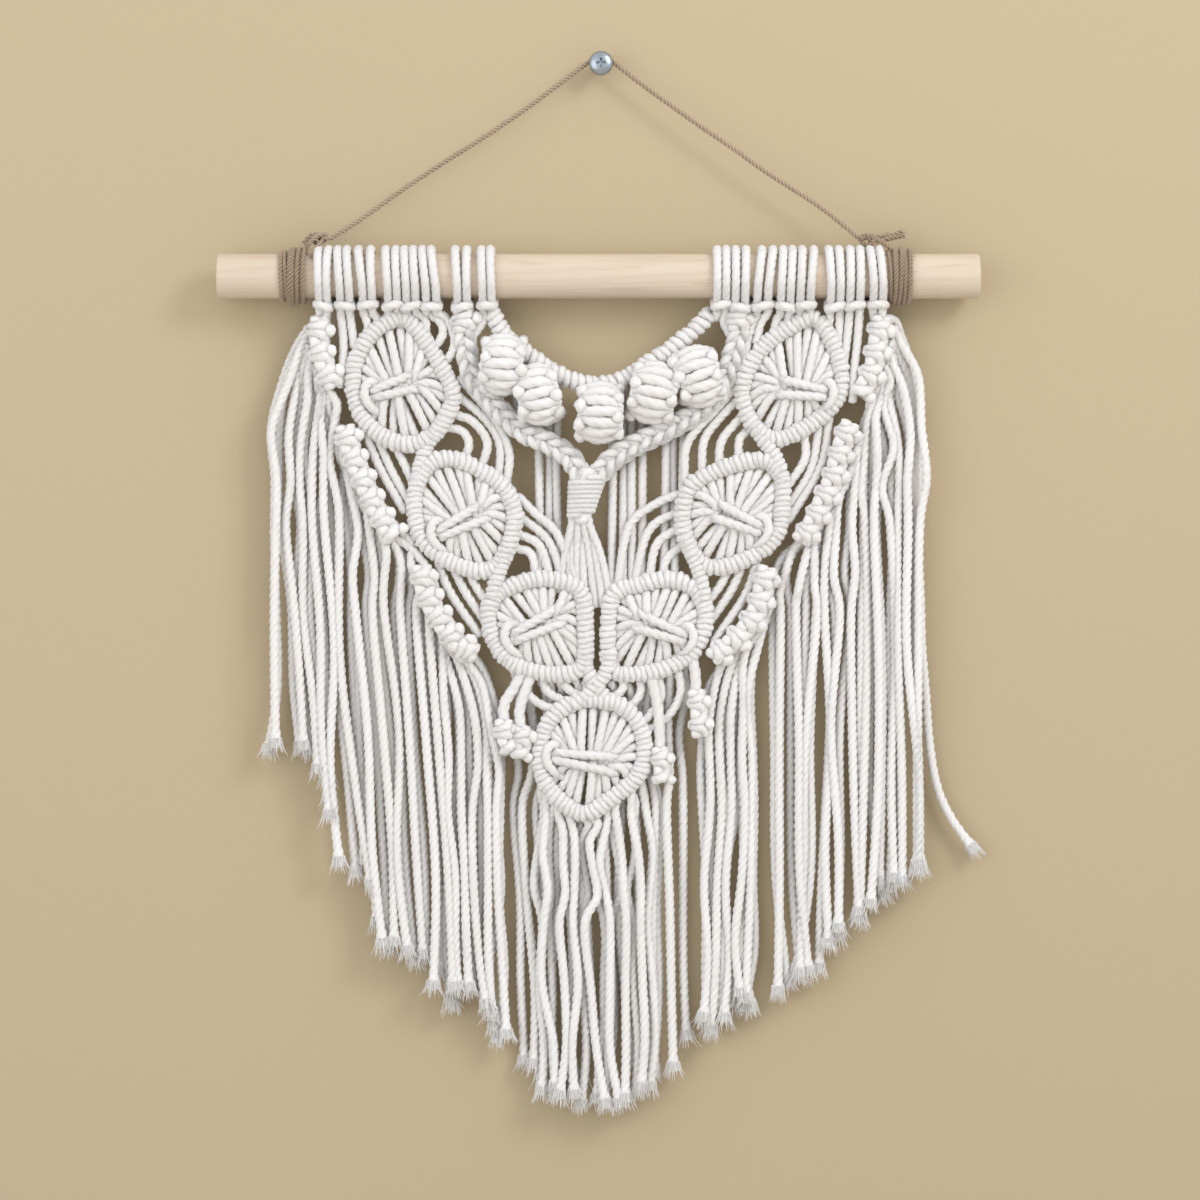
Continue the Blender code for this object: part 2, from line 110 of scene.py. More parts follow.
world = bpy.data.worlds.new("studio")
bpy.context.scene.world = world
world.use_nodes = True
surrounding = world.node_tree.nodes["Background"]
surrounding.inputs["Color"].default_value = SURROUNDING_COLOUR
surrounding.inputs["Strength"].default_value = SURROUNDING_STRENGTH
bpy.context.scene.view_settings.view_transform = "Standard"
print("lamps:", [row.name for row in LAMPS])

# %% [markdown]
# ## A small language for materials
# A material is a net of nodes. Written one by one they hide the idea, so one class stands for a socket and
# takes part in plain sums, and one method adds any other node with its settings and its sockets.

# %% Shader sums and nodes


class Amount:
    """One output socket. Sums with numbers or other amounts add Math nodes."""

    def __init__(self, tree, socket):
        self.tree = tree
        self.socket = socket

    def combined(self, operation, first, second):
        node = self.tree.nodes.new("ShaderNodeMath")
        node.operation = operation
        for slot, value in enumerate((first, second)):
            if isinstance(value, Amount):
                self.tree.links.new(value.socket, node.inputs[slot])
            else:
                node.inputs[slot].default_value = value
        return Amount(self.tree, node.outputs[0])

    def __add__(self, other):
        return self.combined("ADD", self, other)

    def __radd__(self, other):
        return self.combined("ADD", other, self)

    def __sub__(self, other):
        return self.combined("SUBTRACT", self, other)

    def __rsub__(self, other):
        return self.combined("SUBTRACT", other, self)

    def __mul__(self, other):
        return self.combined("MULTIPLY", self, other)

    def __rmul__(self, other):
        return self.combined("MULTIPLY", other, self)

    def __truediv__(self, other):
        return self.combined("DIVIDE", self, other)

    def __pow__(self, other):
        return self.combined("POWER", self, other)

    def wave(self):
        """A sine that runs from 0 to 1."""
        return self.combined("SINE", self, 0.0) * 0.5 + 0.5


class Finish:
    """A material, with the one method that adds its nodes."""

    def __init__(self, name):
        self.material = bpy.data.materials.new(name)
        self.material.use_nodes = True
        self.tree = self.material.node_tree
        self.shader = self.tree.nodes["Principled BSDF"]

    def node(self, kind, settings, sockets, output=0):
        """Adds a node: its settings first, then its sockets' values or links."""
        node = self.tree.nodes.new(kind)
        for key, value in settings.items():
            if key == "stops":
                self.set_stops(node.color_ramp, value)
            else:
                setattr(node, key, value)
        for key, value in sockets.items():
            if isinstance(value, Amount):
                self.tree.links.new(value.socket, node.inputs[key])
            else:
                node.inputs[key].default_value = value
        return Amount(self.tree, node.outputs[output])

    def set_stops(self, ramp, stops):
        while len(ramp.elements) < len(stops):
            ramp.elements.new(1.0)
        for element, (place, colour) in zip(ramp.elements, stops):
            element.position = place
            element.color = colour

    def feed(self, socket, amount):
        self.tree.links.new(amount.socket, self.shader.inputs[socket])

    def fix(self, values):
        """Sets sockets of the shader to plain values."""
        for key, value in values.items():
            self.shader.inputs[key].default_value = value

    def place(self):
        """Where a point lies on the object."""
        return self.node("ShaderNodeTexCoord", {}, {}, output=3)

    def part(self, vector, which):
        """The first, second or third number of a vector."""
        return self.node("ShaderNodeSeparateXYZ", {}, {0: vector}, output=which)

    def squeezed(self, place, scale):
        """Makes a pattern long in the directions of small scale."""
        return self.node("ShaderNodeMapping", {}, {"Scale": scale, "Vector": place})

    def blend(self, mask, first, second):
        """A colour between two others."""
        # sockets 6 and 7 of a Mix node are its two colours, and output 2 is the mixed colour
        return self.node("ShaderNodeMix", {"data_type": "RGBA"}, {0: mask, 6: first, 7: second}, output=2)

    def noise(self, place, scale, detail=2.0):
        sockets = {"Vector": place, "Scale": scale, "Detail": detail}
        return self.node("ShaderNodeTexNoise", {}, sockets)

    def bump(self, height, strength, distance):
        sockets = {"Height": height, "Strength": strength, "Distance": distance}
        return self.node("ShaderNodeBump", {}, sockets)


print("materials are written with", Finish.__name__, "and", Amount.__name__)

# %% [markdown]
# ## The wall and the floor
# Both are plain and pale: painted plaster with the faint orange-peel that a roller leaves. Its colour is made
# a little darker towards the floor, painted shade for the less light that reaches there. Both glow very
# weakly, painted light which keeps the gaps between cords from turning black. A Mix Shader shows the plaster
# on the front side only, so that the wall never hides the hanging from behind.

# %% Wall and floor
WALL_Y = 0.6
WALL_GLOW = 0.07
FLOOR_Y = -2400.0
FLOOR_Z = -1100.0
SHEET_SIZE = 5000
WALL_COLOUR = (0.50, 0.405, 0.264)
FLOOR_COLOUR = (0.80, 0.77, 0.72)
DARKER = 0.86


def plaster(name, colour, one_sided):
    finish = Finish(name)
    place = finish.place()
    patches = finish.noise(place, 2.5)
    height = finish.part(place, 2)
    dark = (*[value * DARKER for value in colour], 1.0)
    # painted shade: the height term darkens the colour towards the floor, while the noise patches vary the
    # paint
    finish.feed("Base Color", finish.blend(patches * 0.3 + height * 1.6 + 0.62, dark, (*colour, 1.0)))
    finish.feed("Normal", finish.bump(finish.noise(place, 420.0), 0.12, 0.0004))
    # the emission is painted light, a weak glow in the plaster's own colour
    finish.fix({"Roughness": 0.9, "Emission Color": (*colour, 1.0), "Emission Strength": WALL_GLOW})
    if one_sided:
        facing = finish.node("ShaderNodeNewGeometry", {}, {}, output=6)
        clear = finish.node("ShaderNodeBsdfTransparent", {}, {})
        body = Amount(finish.tree, finish.shader.outputs[0])
        shown = finish.node("ShaderNodeMixShader", {}, {0: facing, 1: body, 2: clear})
        finish.tree.links.new(shown.socket, finish.tree.nodes["Material Output"].inputs["Surface"])
    return finish.material


def stage_sheet(name, place, turn, material):
    bpy.ops.object.select_all(action="DESELECT")
    bpy.ops.mesh.primitive_plane_add(size=SHEET_SIZE * MM, location=[v * MM for v in place], rotation=turn)
    sheet = bpy.context.object
    sheet.name = name
    sheet.data.materials.append(material)
    bpy.ops.object.transform_apply(location=True, rotation=True, scale=True)


wall_paint = plaster("wall_paint", WALL_COLOUR, True)
floor_paint = plaster("floor_paint", FLOOR_COLOUR, False)
stage_sheet("wall", (0, WALL_Y, -200), (math.pi / 2, 0, 0), wall_paint)
stage_sheet("floor", (0, FLOOR_Y, FLOOR_Z), (0, 0, 0), floor_paint)
print("wall and floor stand ready")

# %% [markdown]
# ## Cotton
# The cords are unbleached three-ply cotton of 3.4 mm. Each cord carries its own map: u runs round it and v
# along it, so the fibres follow the twist wherever a cord bends. Painted shade darkens the creases between
# the plies, each cord has its own tone, and faint cream patches run over the whole hanging.

# %% Cotton finish
CORD_D = 3.4
PLIES = 3


def spun_yarn(name, light, darker_tone_and_shade, crease_shade_depth, lean, glow):
    """A twisted yarn: light fibres, painted shade in the creases, a tone for each cord, and light that glows
    through.
    """
    finish = Finish(name)
    place = finish.place()
    tone = finish.node("ShaderNodeAttribute", {"attribute_name": "tone"}, {}, output=2)
    both = finish.node("ShaderNodeUVMap", {"uv_map": "round_and_along"}, {})
    u, v = finish.part(both, 0), finish.part(both, 1)
    tangle = finish.noise(place, 260.0, 3.0)
    fibres = (u * (math.tau * 12) + v * lean + tangle * 9.0).wave()
    # the creases get painted shade where the section is pulled in, at u = 0, 1/3 and 2/3
    crease = (u * (math.tau * PLIES) + math.pi / 2).wave() ** 3.0
    patches = finish.noise(place, 34.0)
    # tone, patches and fibres vary the yarn's own colour; the crease term adds painted shade
    mask = tone * 0.35 + patches * 0.25 + fibres * 0.16 + crease * crease_shade_depth
    colour = finish.blend(mask, (*light, 1.0), (*darker_tone_and_shade, 1.0))
    finish.feed("Base Color", colour)
    fuzz = finish.noise(place, 1400.0, 1.0)
    finish.feed("Normal", finish.bump(fibres + fuzz * 0.9, 0.32, 0.00022))
    finish.feed("Roughness", 0.84 + fuzz * 0.14)
    finish.fix({"Specular IOR Level": 0.2, "Sheen Weight": 0.25, "Sheen Roughness": 0.5,
                "Subsurface Weight": glow, "Subsurface Radius": (1.0, 1.0, 1.0), "Subsurface Scale": 0.0025})
    return finish.material


# the third number sets how much painted shade darkens the creases
cotton = spun_yarn("cotton_cord", (0.87, 0.86, 0.85), (0.785, 0.755, 0.73), 0.24, 5.0, 0.4)
jute = spun_yarn("jute_twine", (0.62, 0.475, 0.345), (0.19, 0.128, 0.083), 0.5, 9.0, 0.0)
print("yarns:", cotton.name, jute.name)

# %% [markdown]
# ## Pine and zinc
# The dowel is turned from a small pine log, so its grain is one solid pattern: rings round a pith that lies
# outside the dowel and leans a little. The same rings give long streaks on the side and arcs on the ends.
# The screw is zinc-plated steel, with the faint cloudiness of plating.

# %% Pine and zinc finishes
PITH = (-0.6, 11.0, -104.0)
RING_WIDTH = 1.7


def pine_wood():
    finish = Finish("pine_dowel")
    place = finish.place()
    log = {"Location": [-value * MM for value in PITH], "Rotation": (0.0, 0.012, 0.02), "Vector": place}
    turned = finish.node("ShaderNodeMapping", {}, log)
    drift = finish.noise(finish.squeezed(turned, (0.09, 1.0, 1.0)), 130.0, 3.0)
    y, z = finish.part(turned, 1), finish.part(turned, 2)
    radius = (y * y + z * z) ** 0.5
    rings = (radius * (math.tau / (RING_WIDTH * MM)) + drift * 7.0).wave() ** 2.5
    streaks = finish.noise(finish.squeezed(turned, (0.03, 1.0, 1.0)), 900.0)
    blotches = finish.noise(finish.squeezed(turned, (0.12, 1.0, 1.0)), 380.0, 1.0)
    flecks = finish.node("ShaderNodeValToRGB", {"stops": ((0.62, (0, 0, 0, 1)), (0.74, (1, 1, 1, 1)))},
                         {0: blotches})
    mask = rings * 0.24 + streaks * 0.14
    pale = finish.blend(mask, (0.67, 0.565, 0.445, 1.0), (0.58, 0.43, 0.31, 1.0))
    colour = finish.blend(flecks * 0.30, pale, (0.53, 0.34, 0.25, 1.0))
    finish.feed("Base Color", colour)
    finish.feed("Normal", finish.bump(streaks + rings * 0.4, 0.14, 0.0002))
    finish.feed("Roughness", 0.52 + streaks * 0.2)
    return finish.material


def plated_steel():
    finish = Finish("zinc_plate")
    place = finish.place()
    clouds = finish.noise(place, 420.0, 3.0)
    scratches = finish.noise(finish.squeezed(place, (1.0, 1.0, 9.0)), 1500.0)
    finish.feed("Base Color", finish.blend(clouds, (0.30, 0.345, 0.40, 1.0), (0.46, 0.50, 0.55, 1.0)))
    finish.feed("Roughness", 0.22 + clouds * 0.16)
    finish.feed("Normal", finish.bump(scratches, 0.1, 0.0001))
    finish.fix({"Metallic": 1.0})
    return finish.material


pine = pine_wood()
zinc = plated_steel()
print("solid finishes:", pine.name, zinc.name)

# %% [markdown]
# ## One smooth line from a few points
# A cord never has a corner, so each route is given as a few points and drawn as a smooth curve through them
# (a Catmull-Rom curve), then cut into even steps. Steps of about a third of a cord keep the twist round.

# %% Smooth lines


def smooth_line(points, step=1.25, closed=False):
    """Evenly spaced points, about one step apart, on a smooth curve through the given ones."""
    points = np.array(points, float)
    if closed:
        around = np.vstack([points[-1:], points, points[:2]])
    else:
        around = np.vstack([2 * points[:1] - points[1:2], points, 2 * points[-1:] - points[-2:-1]])
    share = np.linspace(0, 1, 12, endpoint=False)[:, None]
    fine = []
    for before, start, end, after in zip(around, around[1:], around[2:], around[3:]):
        bend = (2 * before - 5 * start + 4 * end - after) * share**2
        swing = (3 * start - before - 3 * end + after) * share**3
        fine.append(0.5 * (2 * start + (end - before) * share + bend + swing))
    fine = np.vstack(fine + [around[-2][None]])
    return even_steps(fine, step)


def distances(line):
    """How far along a line each of its points lies."""
    return np.concatenate([[0], np.cumsum(np.linalg.norm(np.diff(line, axis=0), axis=1))])


def unit(vector):
    return vector / np.linalg.norm(vector)


def directions(line):
    """The direction of a line at each of its points."""
    ahead = np.gradient(line, axis=0)
    return ahead / np.linalg.norm(ahead, axis=1)[:, None]


def even_steps(fine, step):
    """The same line cut into even steps."""
    along = distances(fine)
    count = max(3, int(round(along[-1] / step)) + 1)
    want = np.linspace(0, along[-1], count)
    return np.stack([np.interp(want, along, fine[:, k]) for k in range(3)], axis=1)


def length_of(line):
    return float(np.linalg.norm(np.diff(line, axis=0), axis=1).sum())


print("test line:", len(smooth_line([(0, 0, 0), (5, 0, 5), (10, 0, 0)])), "points")

# %% [markdown]
# ## A twisted cord
# A three-ply cord cut across shows three lobes. The section is carried along the route without turning of
# its own, and then turned steadily, about one turn in three cords' widths, so that the lobes wind like plies.
# Many cords are collected in a hank, and a hank becomes one piece with one mesh.

# %% Hanks of cord
# The sides of a cord, and the fewest a lobed cord can have. TWIST is a turn's length in cords' widths.
SECTION = 9
FEWEST_LOBED = 6
TWIST = 2.9
THINNEST_MAP = 1.5
# How far the lobes stand out, how far a cut end bulges, and how much of the map a fibre shows.
FLUFF = 1.14
END_DOME = 0.4
FIBRE_ROUND = 0.12


def carried_sides(line):
    """For each point, its direction and two sides that follow the line without winding round it."""
    ahead = directions(line)
    seed = np.array([0.0, 0.0, 1.0]) if abs(ahead[0][2]) < 0.8 else np.array([1.0, 0.0, 0.0])
    side = np.cross(ahead[0], seed)
    sides = []
    for direction in ahead:
        side = unit(side - direction * side.dot(direction))
        sides.append(side)
    sides = np.array(sides)
    return ahead, sides, np.cross(ahead, sides)


class Hank:
    """Cords that become one piece. Lengths in millimetres."""

    def __init__(self, name, seed):
        self.name = name
        self.chance = np.random.default_rng(seed)
        self.points = []
        self.quads = []
        self.quad_maps = []
        self.fans = []
        self.fan_maps = []
        self.tones = []
        self.count = 0

    def lay(self, line, thick=CORD_D, swell=None, crease=0.99, sides=SECTION, tone=None):
        """Adds one twisted cord along a dense line. swell is a share of the thickness at each point."""
        radius = thick / 2 * (np.ones(len(line)) if swell is None else swell)
        _, side, other = carried_sides(line)
        along = distances(line)
        angle = np.arange(sides) * math.tau / sides
        creases = np.arange(sides) % max(1, sides // PLIES) == 0
        lobed = sides >= FEWEST_LOBED
        lobes = np.where(creases, crease, FLUFF) if lobed else np.ones(sides)
        wind = math.tau / (TWIST * thick) if lobed else 0.0
        turn = along[:, None] * wind + self.chance.uniform(0, math.tau)
        reach = radius[:, None] * lobes
        across = (reach * np.cos(angle + turn))[:, :, None] * side[:, None, :]
        across = across + (reach * np.sin(angle + turn))[:, :, None] * other[:, None, :]
        # a single fibre isn't twisted, and shows only a narrow strip of the map
        strip = 1.0 if lobed else FIBRE_ROUND
        v = along / (math.pi * max(thick, THINNEST_MAP))
        self.skin(line, line[:, None, :] + across, v, radius, tone, strip)

    def skin(self, line, rings, v, radius, tone, strip):
        """Faces between the rings, and a fan over each end."""
        rows, sides, _ = rings.shape
        base = self.count
        start_tip = line[0] + unit(line[0] - line[1]) * radius[0] * END_DOME
        end_tip = line[-1] + unit(line[-1] - line[-2]) * radius[-1] * END_DOME
        self.points.append(np.vstack([rings.reshape(-1, 3), start_tip, end_tip]))
        number = base + np.arange(rows * sides).reshape(rows, sides)
        after = np.roll(number, -1, axis=1)
        quads = np.stack([number[:-1], after[:-1], after[1:], number[1:]], axis=-1).reshape(-1, 4)
        u, v = np.broadcast_arrays(np.arange(sides) * strip / sides, v[:, None])
        here, beside = np.stack([u, v], -1), np.stack([u + strip / sides, v], -1)
        corners = np.stack([here[:-1], beside[:-1], beside[1:], here[1:]], axis=2)
        self.quad_maps.append(corners.reshape(-1, 4, 2))
        self.quads.append(quads)
        tip = base + rows * sides
        starts = np.stack([after[0], number[0], np.full(sides, tip)], -1)
        ends = np.stack([number[-1], after[-1], np.full(sides, tip + 1)], -1)
        self.fans += [starts, ends]
        for rim in (np.stack([beside[0], here[0]], 1), np.stack([here[-1], beside[-1]], 1)):
            self.fan_maps.append(np.concatenate([rim, rim[:, :1] + [0.5 * strip / sides, 0.1]], axis=1))
        tone = self.chance.uniform() if tone is None else tone
        self.tones.append(np.full(rows * sides + 2, tone))
        self.count += rows * sides + 2

    def made(self, material):
        """The finished piece, in metres, with its map and tones."""
        quads, fans = np.vstack(self.quads), np.vstack(self.fans)
        mesh = bpy.data.meshes.new(self.name)
        places = np.vstack(self.points) * MM
        mesh.from_pydata(places.tolist(), [], quads.tolist() + fans.tolist())
        maps = mesh.uv_layers.new(name="round_and_along")
        flat = np.concatenate([np.vstack(self.quad_maps).ravel(), np.vstack(self.fan_maps).ravel()])
        maps.data.foreach_set("uv", flat.astype(np.float32))
        tone = mesh.attributes.new("tone", "FLOAT", "POINT")
        tone.data.foreach_set("value", np.concatenate(self.tones).astype(np.float32))
        mesh.shade_smooth()
        mesh.materials.append(material)
        mesh.update()
        piece = bpy.data.objects.new(self.name, mesh)
        bpy.context.scene.collection.objects.link(piece)
        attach(piece, "root")
        print(f"{self.name}: {len(quads) * 2 + len(fans)} triangles")
        return piece


def flat_route(points, y):
    """(x, z) points at one depth."""
    return [(x, y, z) for x, z in points]


print("cords have", SECTION, "sides and", PLIES, "lobes")

# %% [markdown]
# ## Cut ends
# The fringe was cut with scissors, and each end has opened a little: it is wider than its cord, and loose
# fibres stand out of it. The fibres are thin three-sided spikes that lean away from the cord's middle.

# %% Frayed ends
FLARE_LENGTH = 8.0
FLARE = 0.5
TUFT = 3.4
CLOSE_TUFT = 0.2
NEAREST_WALL = -0.6
# A fibre starts inside the cord, part of its length behind the cut, and a few of its widths off the middle.
ROOT_BEHIND = 0.45
ROOT_OFF = (2.5, 3.1)
FIBRE_LENGTHS = (0.6, 1.0)
FIBRE_TIP = 0.25


def flared(line):
    """How much thicker a cord gets towards its cut end."""
    left = length_of(line) - distances(line)
    near = np.clip(1 - left / FLARE_LENGTH, 0, 1)
    return 1 + FLARE * near**1.5


def fray(hank, line, fibres=24, reach=7.6, spread=0.5, thick=0.8):
    """Loose fibres at the line's last point."""
    ahead = unit(line[-1] - line[-3])
    side = unit(np.cross(ahead, (0.0, 1.0, 0.0)))
    other = np.cross(ahead, side)
    for k in range(fibres):
        around = math.tau * (k + hank.chance.uniform(0, 0.7)) / fibres
        out = side * math.cos(around) + other * math.sin(around)
        length = reach * hank.chance.uniform(*FIBRE_LENGTHS)
        root = line[-1] - ahead * reach * ROOT_BEHIND + out * thick * hank.chance.uniform(*ROOT_OFF)
        lean = out * length * hank.chance.uniform(0.1, spread)
        middle = root + ahead * length * 0.6 + lean * 0.4
        spike = smooth_line([root, middle, root + ahead * length + lean], 1.6)
        spike[:, 1] = np.minimum(spike[:, 1], NEAREST_WALL)
        taper = np.linspace(1.0, FIBRE_TIP, len(spike))
        hank.lay(spike, thick, swell=taper, sides=3, tone=0.0)


def wavy(points, chance, size):
    """Moves a route's inner points a little, as cords that have been handled never hang quite straight."""
    points = np.array(points, float)
    shift = chance.normal(0, size, points.shape) * (1.0, 0.5, 0.0)
    shift[0] = 0
    shift[-1] *= 0.6
    return points + shift


print("cut ends flare over", FLARE_LENGTH, "mm")

# %% [markdown]
# ## The twine and the loose cords
# The jute twine is a free cord: it runs from the knot at the left of the dowel up over the screw's shank, and
# down to the knot at the right. Its route is the same as its CAD solid's. Twine is hairy, so short fibres
# stand off it all the way.

# %% Hanging twine
TWINE_D = 1.8
TWINE_CREASE = 0.72
HAIR_D = 0.2
HAIR_OFF = 0.7
HAIR_LEAN = 1.6
HAIR_LENGTHS = (0.4, 1.0)
TWINE_ROUTE = (
    (-108.2, -12.8, -70.4), (-101.0, -12.3, -66.0), (-93.0, -11.9, -60.5), (-79.0, -11.2, -50.5),
    (-62.5, -10.4, -39.5), (-46.0, -9.6, -29.0), (-30.0, -8.8, -18.0), (-17.5, -8.1, -8.6),
    (-9.5, -7.7, -2.6), (-4.6, -7.5, 1.1), (-2.1, -7.4, 3.0), (0.0, -7.4, 3.7),
    (2.1, -7.4, 3.0), (4.6, -7.5, 1.1), (9.5, -7.7, -2.8), (17.5, -8.1, -9.0),
    (35.5, -9.0, -22.0), (54.0, -9.9, -34.8), (66.0, -10.5, -43.5), (86.0, -11.5, -56.5),
    (97.0, -12.1, -65.0), (102.6, -12.6, -69.8),
)


def hairs(hank, line, every, reach):
    """Short fibres that stand off a line of twine, about one to every few points."""
    ahead, side, other = carried_sides(line)
    for k in np.arange(2, len(line) - 2, every):
        k = int(k + hank.chance.integers(0, every))
        if k >= len(line) - 1:
            break
        around = hank.chance.uniform(0, math.tau)
        out = side[k] * math.cos(around) + other[k] * math.sin(around)
        lean = ahead[k] * hank.chance.uniform(-HAIR_LEAN, HAIR_LEAN)
        length = reach * hank.chance.uniform(*HAIR_LENGTHS)
        root = line[k] + out * HAIR_OFF
        tip = root + unit(out + lean) * length
        spike = smooth_line([root, (root + tip) / 2 + out * 0.15, tip], length / 2)
        hank.lay(spike, HAIR_D, sides=3)


twine_line = smooth_line(TWINE_ROUTE, 0.75)
twine = Hank("twine", seed=3)
twine.lay(twine_line, TWINE_D, crease=TWINE_CREASE)
hairs(twine, twine_line, 5, 1.6)
twine_piece = twine.made(jute)
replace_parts(twine_piece, "hanging_twine")
(smooth_line(TWINE_ROUTE, 2.5) * MM).tolist()
print("twine:", round(length_of(twine_line)), "mm")

# %% [markdown]
# ## The hem
# The fringe is cut by eye to a stepped point: short at the sides and long in the middle. One line gives the
# height of the longest cord at each place. Cords are never cut exactly alike, so each one's core ends on the
# line or a few millimetres above it.

# %% Hem line
HEM = (
    (-131, -281), (-121, -279), (-108, -300), (-105, -326), (-93, -334), (-87, -359), (-72, -364),
    (-61, -379), (-50, -381), (-42, -392), (-34, -405), (-25, -418), (0, -419), (20, -415), (31, -411),
    (40, -392), (60, -381), (72, -377), (86, -368), (97, -352), (106, -344), (120, -337), (130, -325),
)


def hem_at(x):
    return float(np.interp(x, [row[0] for row in HEM], [row[1] for row in HEM]))


print("hem at the middle:", hem_at(0), "mm, at the sides:", hem_at(-131), hem_at(130))

# %% [markdown]
# ## Fringes
# Each fringe hangs from a chain of knots or from the lower rim of a leaf. Its cords leave the header, swing
# out to a bow and then fall nearly straight, some in front of others. A table gives each fringe's header,
# bow and tips; the same few lines of code lay every cord.

# %% Fringe table
Fringe = namedtuple("Fringe", "name count header bow_z bow tips depth short")
FRINGES = (
    Fringe("fringe_left_outer", 13, ((-117, -106), (-117, -114), (-114.5, -123), (-108, -133)), -186,
           (-132.5, -103), (-129.5, -95), (-8.2, -12.2), (0, 14)),
    Fringe("fringe_left_middle", 12, ((-105, -149), (-103, -160), (-99, -173), (-89, -187)), -222,
           (-101, -68), (-90, -61), (-8.2, -12.2), (0, 9)),
    Fringe("fringe_left_inner", 11, ((-73, -205), (-71, -214), (-66, -224), (-56, -234)), -300,
           (-63, -40), (-60.5, -37), (-7.0, -11.0), (0, 10)),
    Fringe("fringe_centre_back", 15, ((-36, -240), (-24, -244), (0, -249), (22, -243), (34, -238)), -300,
           (-33, 33), (-33, 34), (-4.8, -7.8), (5, 16)),
    Fringe("fringe_centre_front", 15, ((-24, -286), (-16, -296), (-6, -302), (6, -294), (15, -285)), -345,
           (-26, 19), (-25, 20), (-9.0, -13.5), (0, 7)),
    Fringe("fringe_right_inner", 11, ((52, -234), (60, -226), (66, -216), (68, -206)), -300,
           (41, 62), (41, 61), (-7.0, -11.0), (0, 10)),
    Fringe("fringe_right_middle", 12, ((85, -189), (95, -177), (100, -164), (104, -149)), -222,
           (70, 101), (69, 99), (-8.2, -12.2), (0, 8)),
    Fringe("fringe_right_outer", 12, ((107, -134), (113, -124), (116, -114), (117, -106)), -186,
           (104, 128), (104, 127.5), (-8.2, -12.2), (0, 12)),
)
print(sum(row.count for row in FRINGES), "cords hang from knots and rims")

# %% [markdown]
# ## Laying the fringe's cords
# Each cord leaves its knot or rim sideways, swings out within a few centimetres and then hangs, a little
# wavy from being handled. The longest cord of every fringe is a piece of its own.

# %% Fringe cords
# How far a cord has dropped to its bow, and how far it has swung out by then.
SWINGS = ((0.1, 0.35), (0.25, 0.7), (0.5, 0.97), (0.75, 1.03), (1.0, 1.0))
# How far it has then dropped to its tip, and how much of the tip's wander it has.
STRAYS = ((0.35, 0.0), (0.7, 0.15), (1.0, 1.0))
HEADER_Y = -12.5
SHORTEST_SWING = 22.0
WAVE = 1.3
TIP_WANDER = 2.8
WIDEST_WANDER = 5.0


def along_points(points, share):
    """The place at a share of a broken line's length."""
    points = np.array(points, float)
    steps = distances(points)
    return [float(np.interp(share * steps[-1], steps, points[:, k])) for k in range(2)]


def fringe_route(row, k, chance):
    """One cord's route: out of the header, out to the bow and down to its tip."""
    share = min(max((k + chance.uniform(-0.22, 0.22)) / (row.count - 1), 0.0), 1.0)
    x_top, z_top = along_points(row.header, share)
    x_bow = row.bow[0] + (row.bow[1] - row.bow[0]) * share
    x_tip = row.tips[0] + (row.tips[1] - row.tips[0]) * share
    wander = float(np.clip(chance.normal(0, TIP_WANDER), -WIDEST_WANDER, WIDEST_WANDER))
    z_tip = hem_at(x_tip + wander) + chance.uniform(*row.short)
    z_bow = min(row.bow_z, z_top - SHORTEST_SWING)
    depth = row.depth[k % 2] + chance.uniform(-1.0, 1.0)
    points = [(x_top, HEADER_Y, z_top)]
    for drop, swing in SWINGS:
        z = z_top + (z_bow - z_top) * drop
        y = depth if drop > 0.2 else (depth + HEADER_Y) / 2
        points.append((x_top + (x_bow - x_top) * swing, y, z))
    for drop, stray in STRAYS:
        x = x_bow + (x_tip - x_bow) * drop + wander * stray
        points.append((x, depth, z_bow + (z_tip - z_bow) * drop))
    return wavy(points, chance, WAVE)


def hang_cord(hank, route, spread=0.5):
    """Lays a cord that ends in a frayed cut, and gives its line."""
    line = smooth_line(route, 1.3)
    hank.lay(line, CORD_D, swell=flared(line))
    fray(hank, line, spread=spread)
    return line


def declared(piece, line):
    """Works out a route along the line and on through the tuft of fibres, in metres, which is not used, and
    gives the piece back.
    """
    whole = np.vstack([line, line[-1] + unit(line[-1] - line[-3]) * TUFT])
    route = even_steps(whole, 4.0) * MM
    return piece


for seed, row in enumerate(FRINGES):
    bunch = Hank(row.name, seed=40 + seed)
    chance = np.random.default_rng(70 + seed)
    routes = [fringe_route(row, k, chance) for k in range(row.count)]
    longest = min(range(row.count), key=lambda k: routes[k][-1][2])
    for k, route in enumerate(routes):
        if k == longest:
            single = Hank(row.name + "_longest", seed=90 + seed)
            line = hang_cord(single, route, CLOSE_TUFT)
            piece = single.made(cotton)
            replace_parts(piece, row.name)
            declared(piece, line)
        else:
            hang_cord(bunch, route)
    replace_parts(bunch.made(cotton), row.name)

# %% [markdown]
# ## The loose cord at the right edge
# One cord has slipped free of the outer right fringe and curls away at its end. It goes further out than
# any other, so it is a piece of its own, on the same route as its CAD solid.

# %% Loose cord
LOOSE_ROUTE = (
    (119.5, -5, -106), (123.5, -5, -117), (126.6, -5, -134), (127.8, -5, -160), (127.4, -5, -190),
    (128.4, -5, -212), (129.0, -5, -233), (130.6, -5, -253), (132.0, -5, -272), (135.0, -5, -289.5),
    (140.6, -5, -302.5), (150.4, -5, -316.2),
)
loose = Hank("loose_cord", seed=11)
loose_line = hang_cord(loose, LOOSE_ROUTE, CLOSE_TUFT)
loose_piece = loose.made(cotton)
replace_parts(loose_piece, "loose_strand")
declared(loose_piece, loose_line)
print("loose cord:", round(length_of(loose_line)), "mm")

# %% [markdown]
# ## The dowel
# The dowel is a turned rod. It starts as a cylinder of its own size. Its edges are eased by a bevel, its
# end faces are inset and pressed in by a hair where the saw cut them, and the sides are shaded smooth.

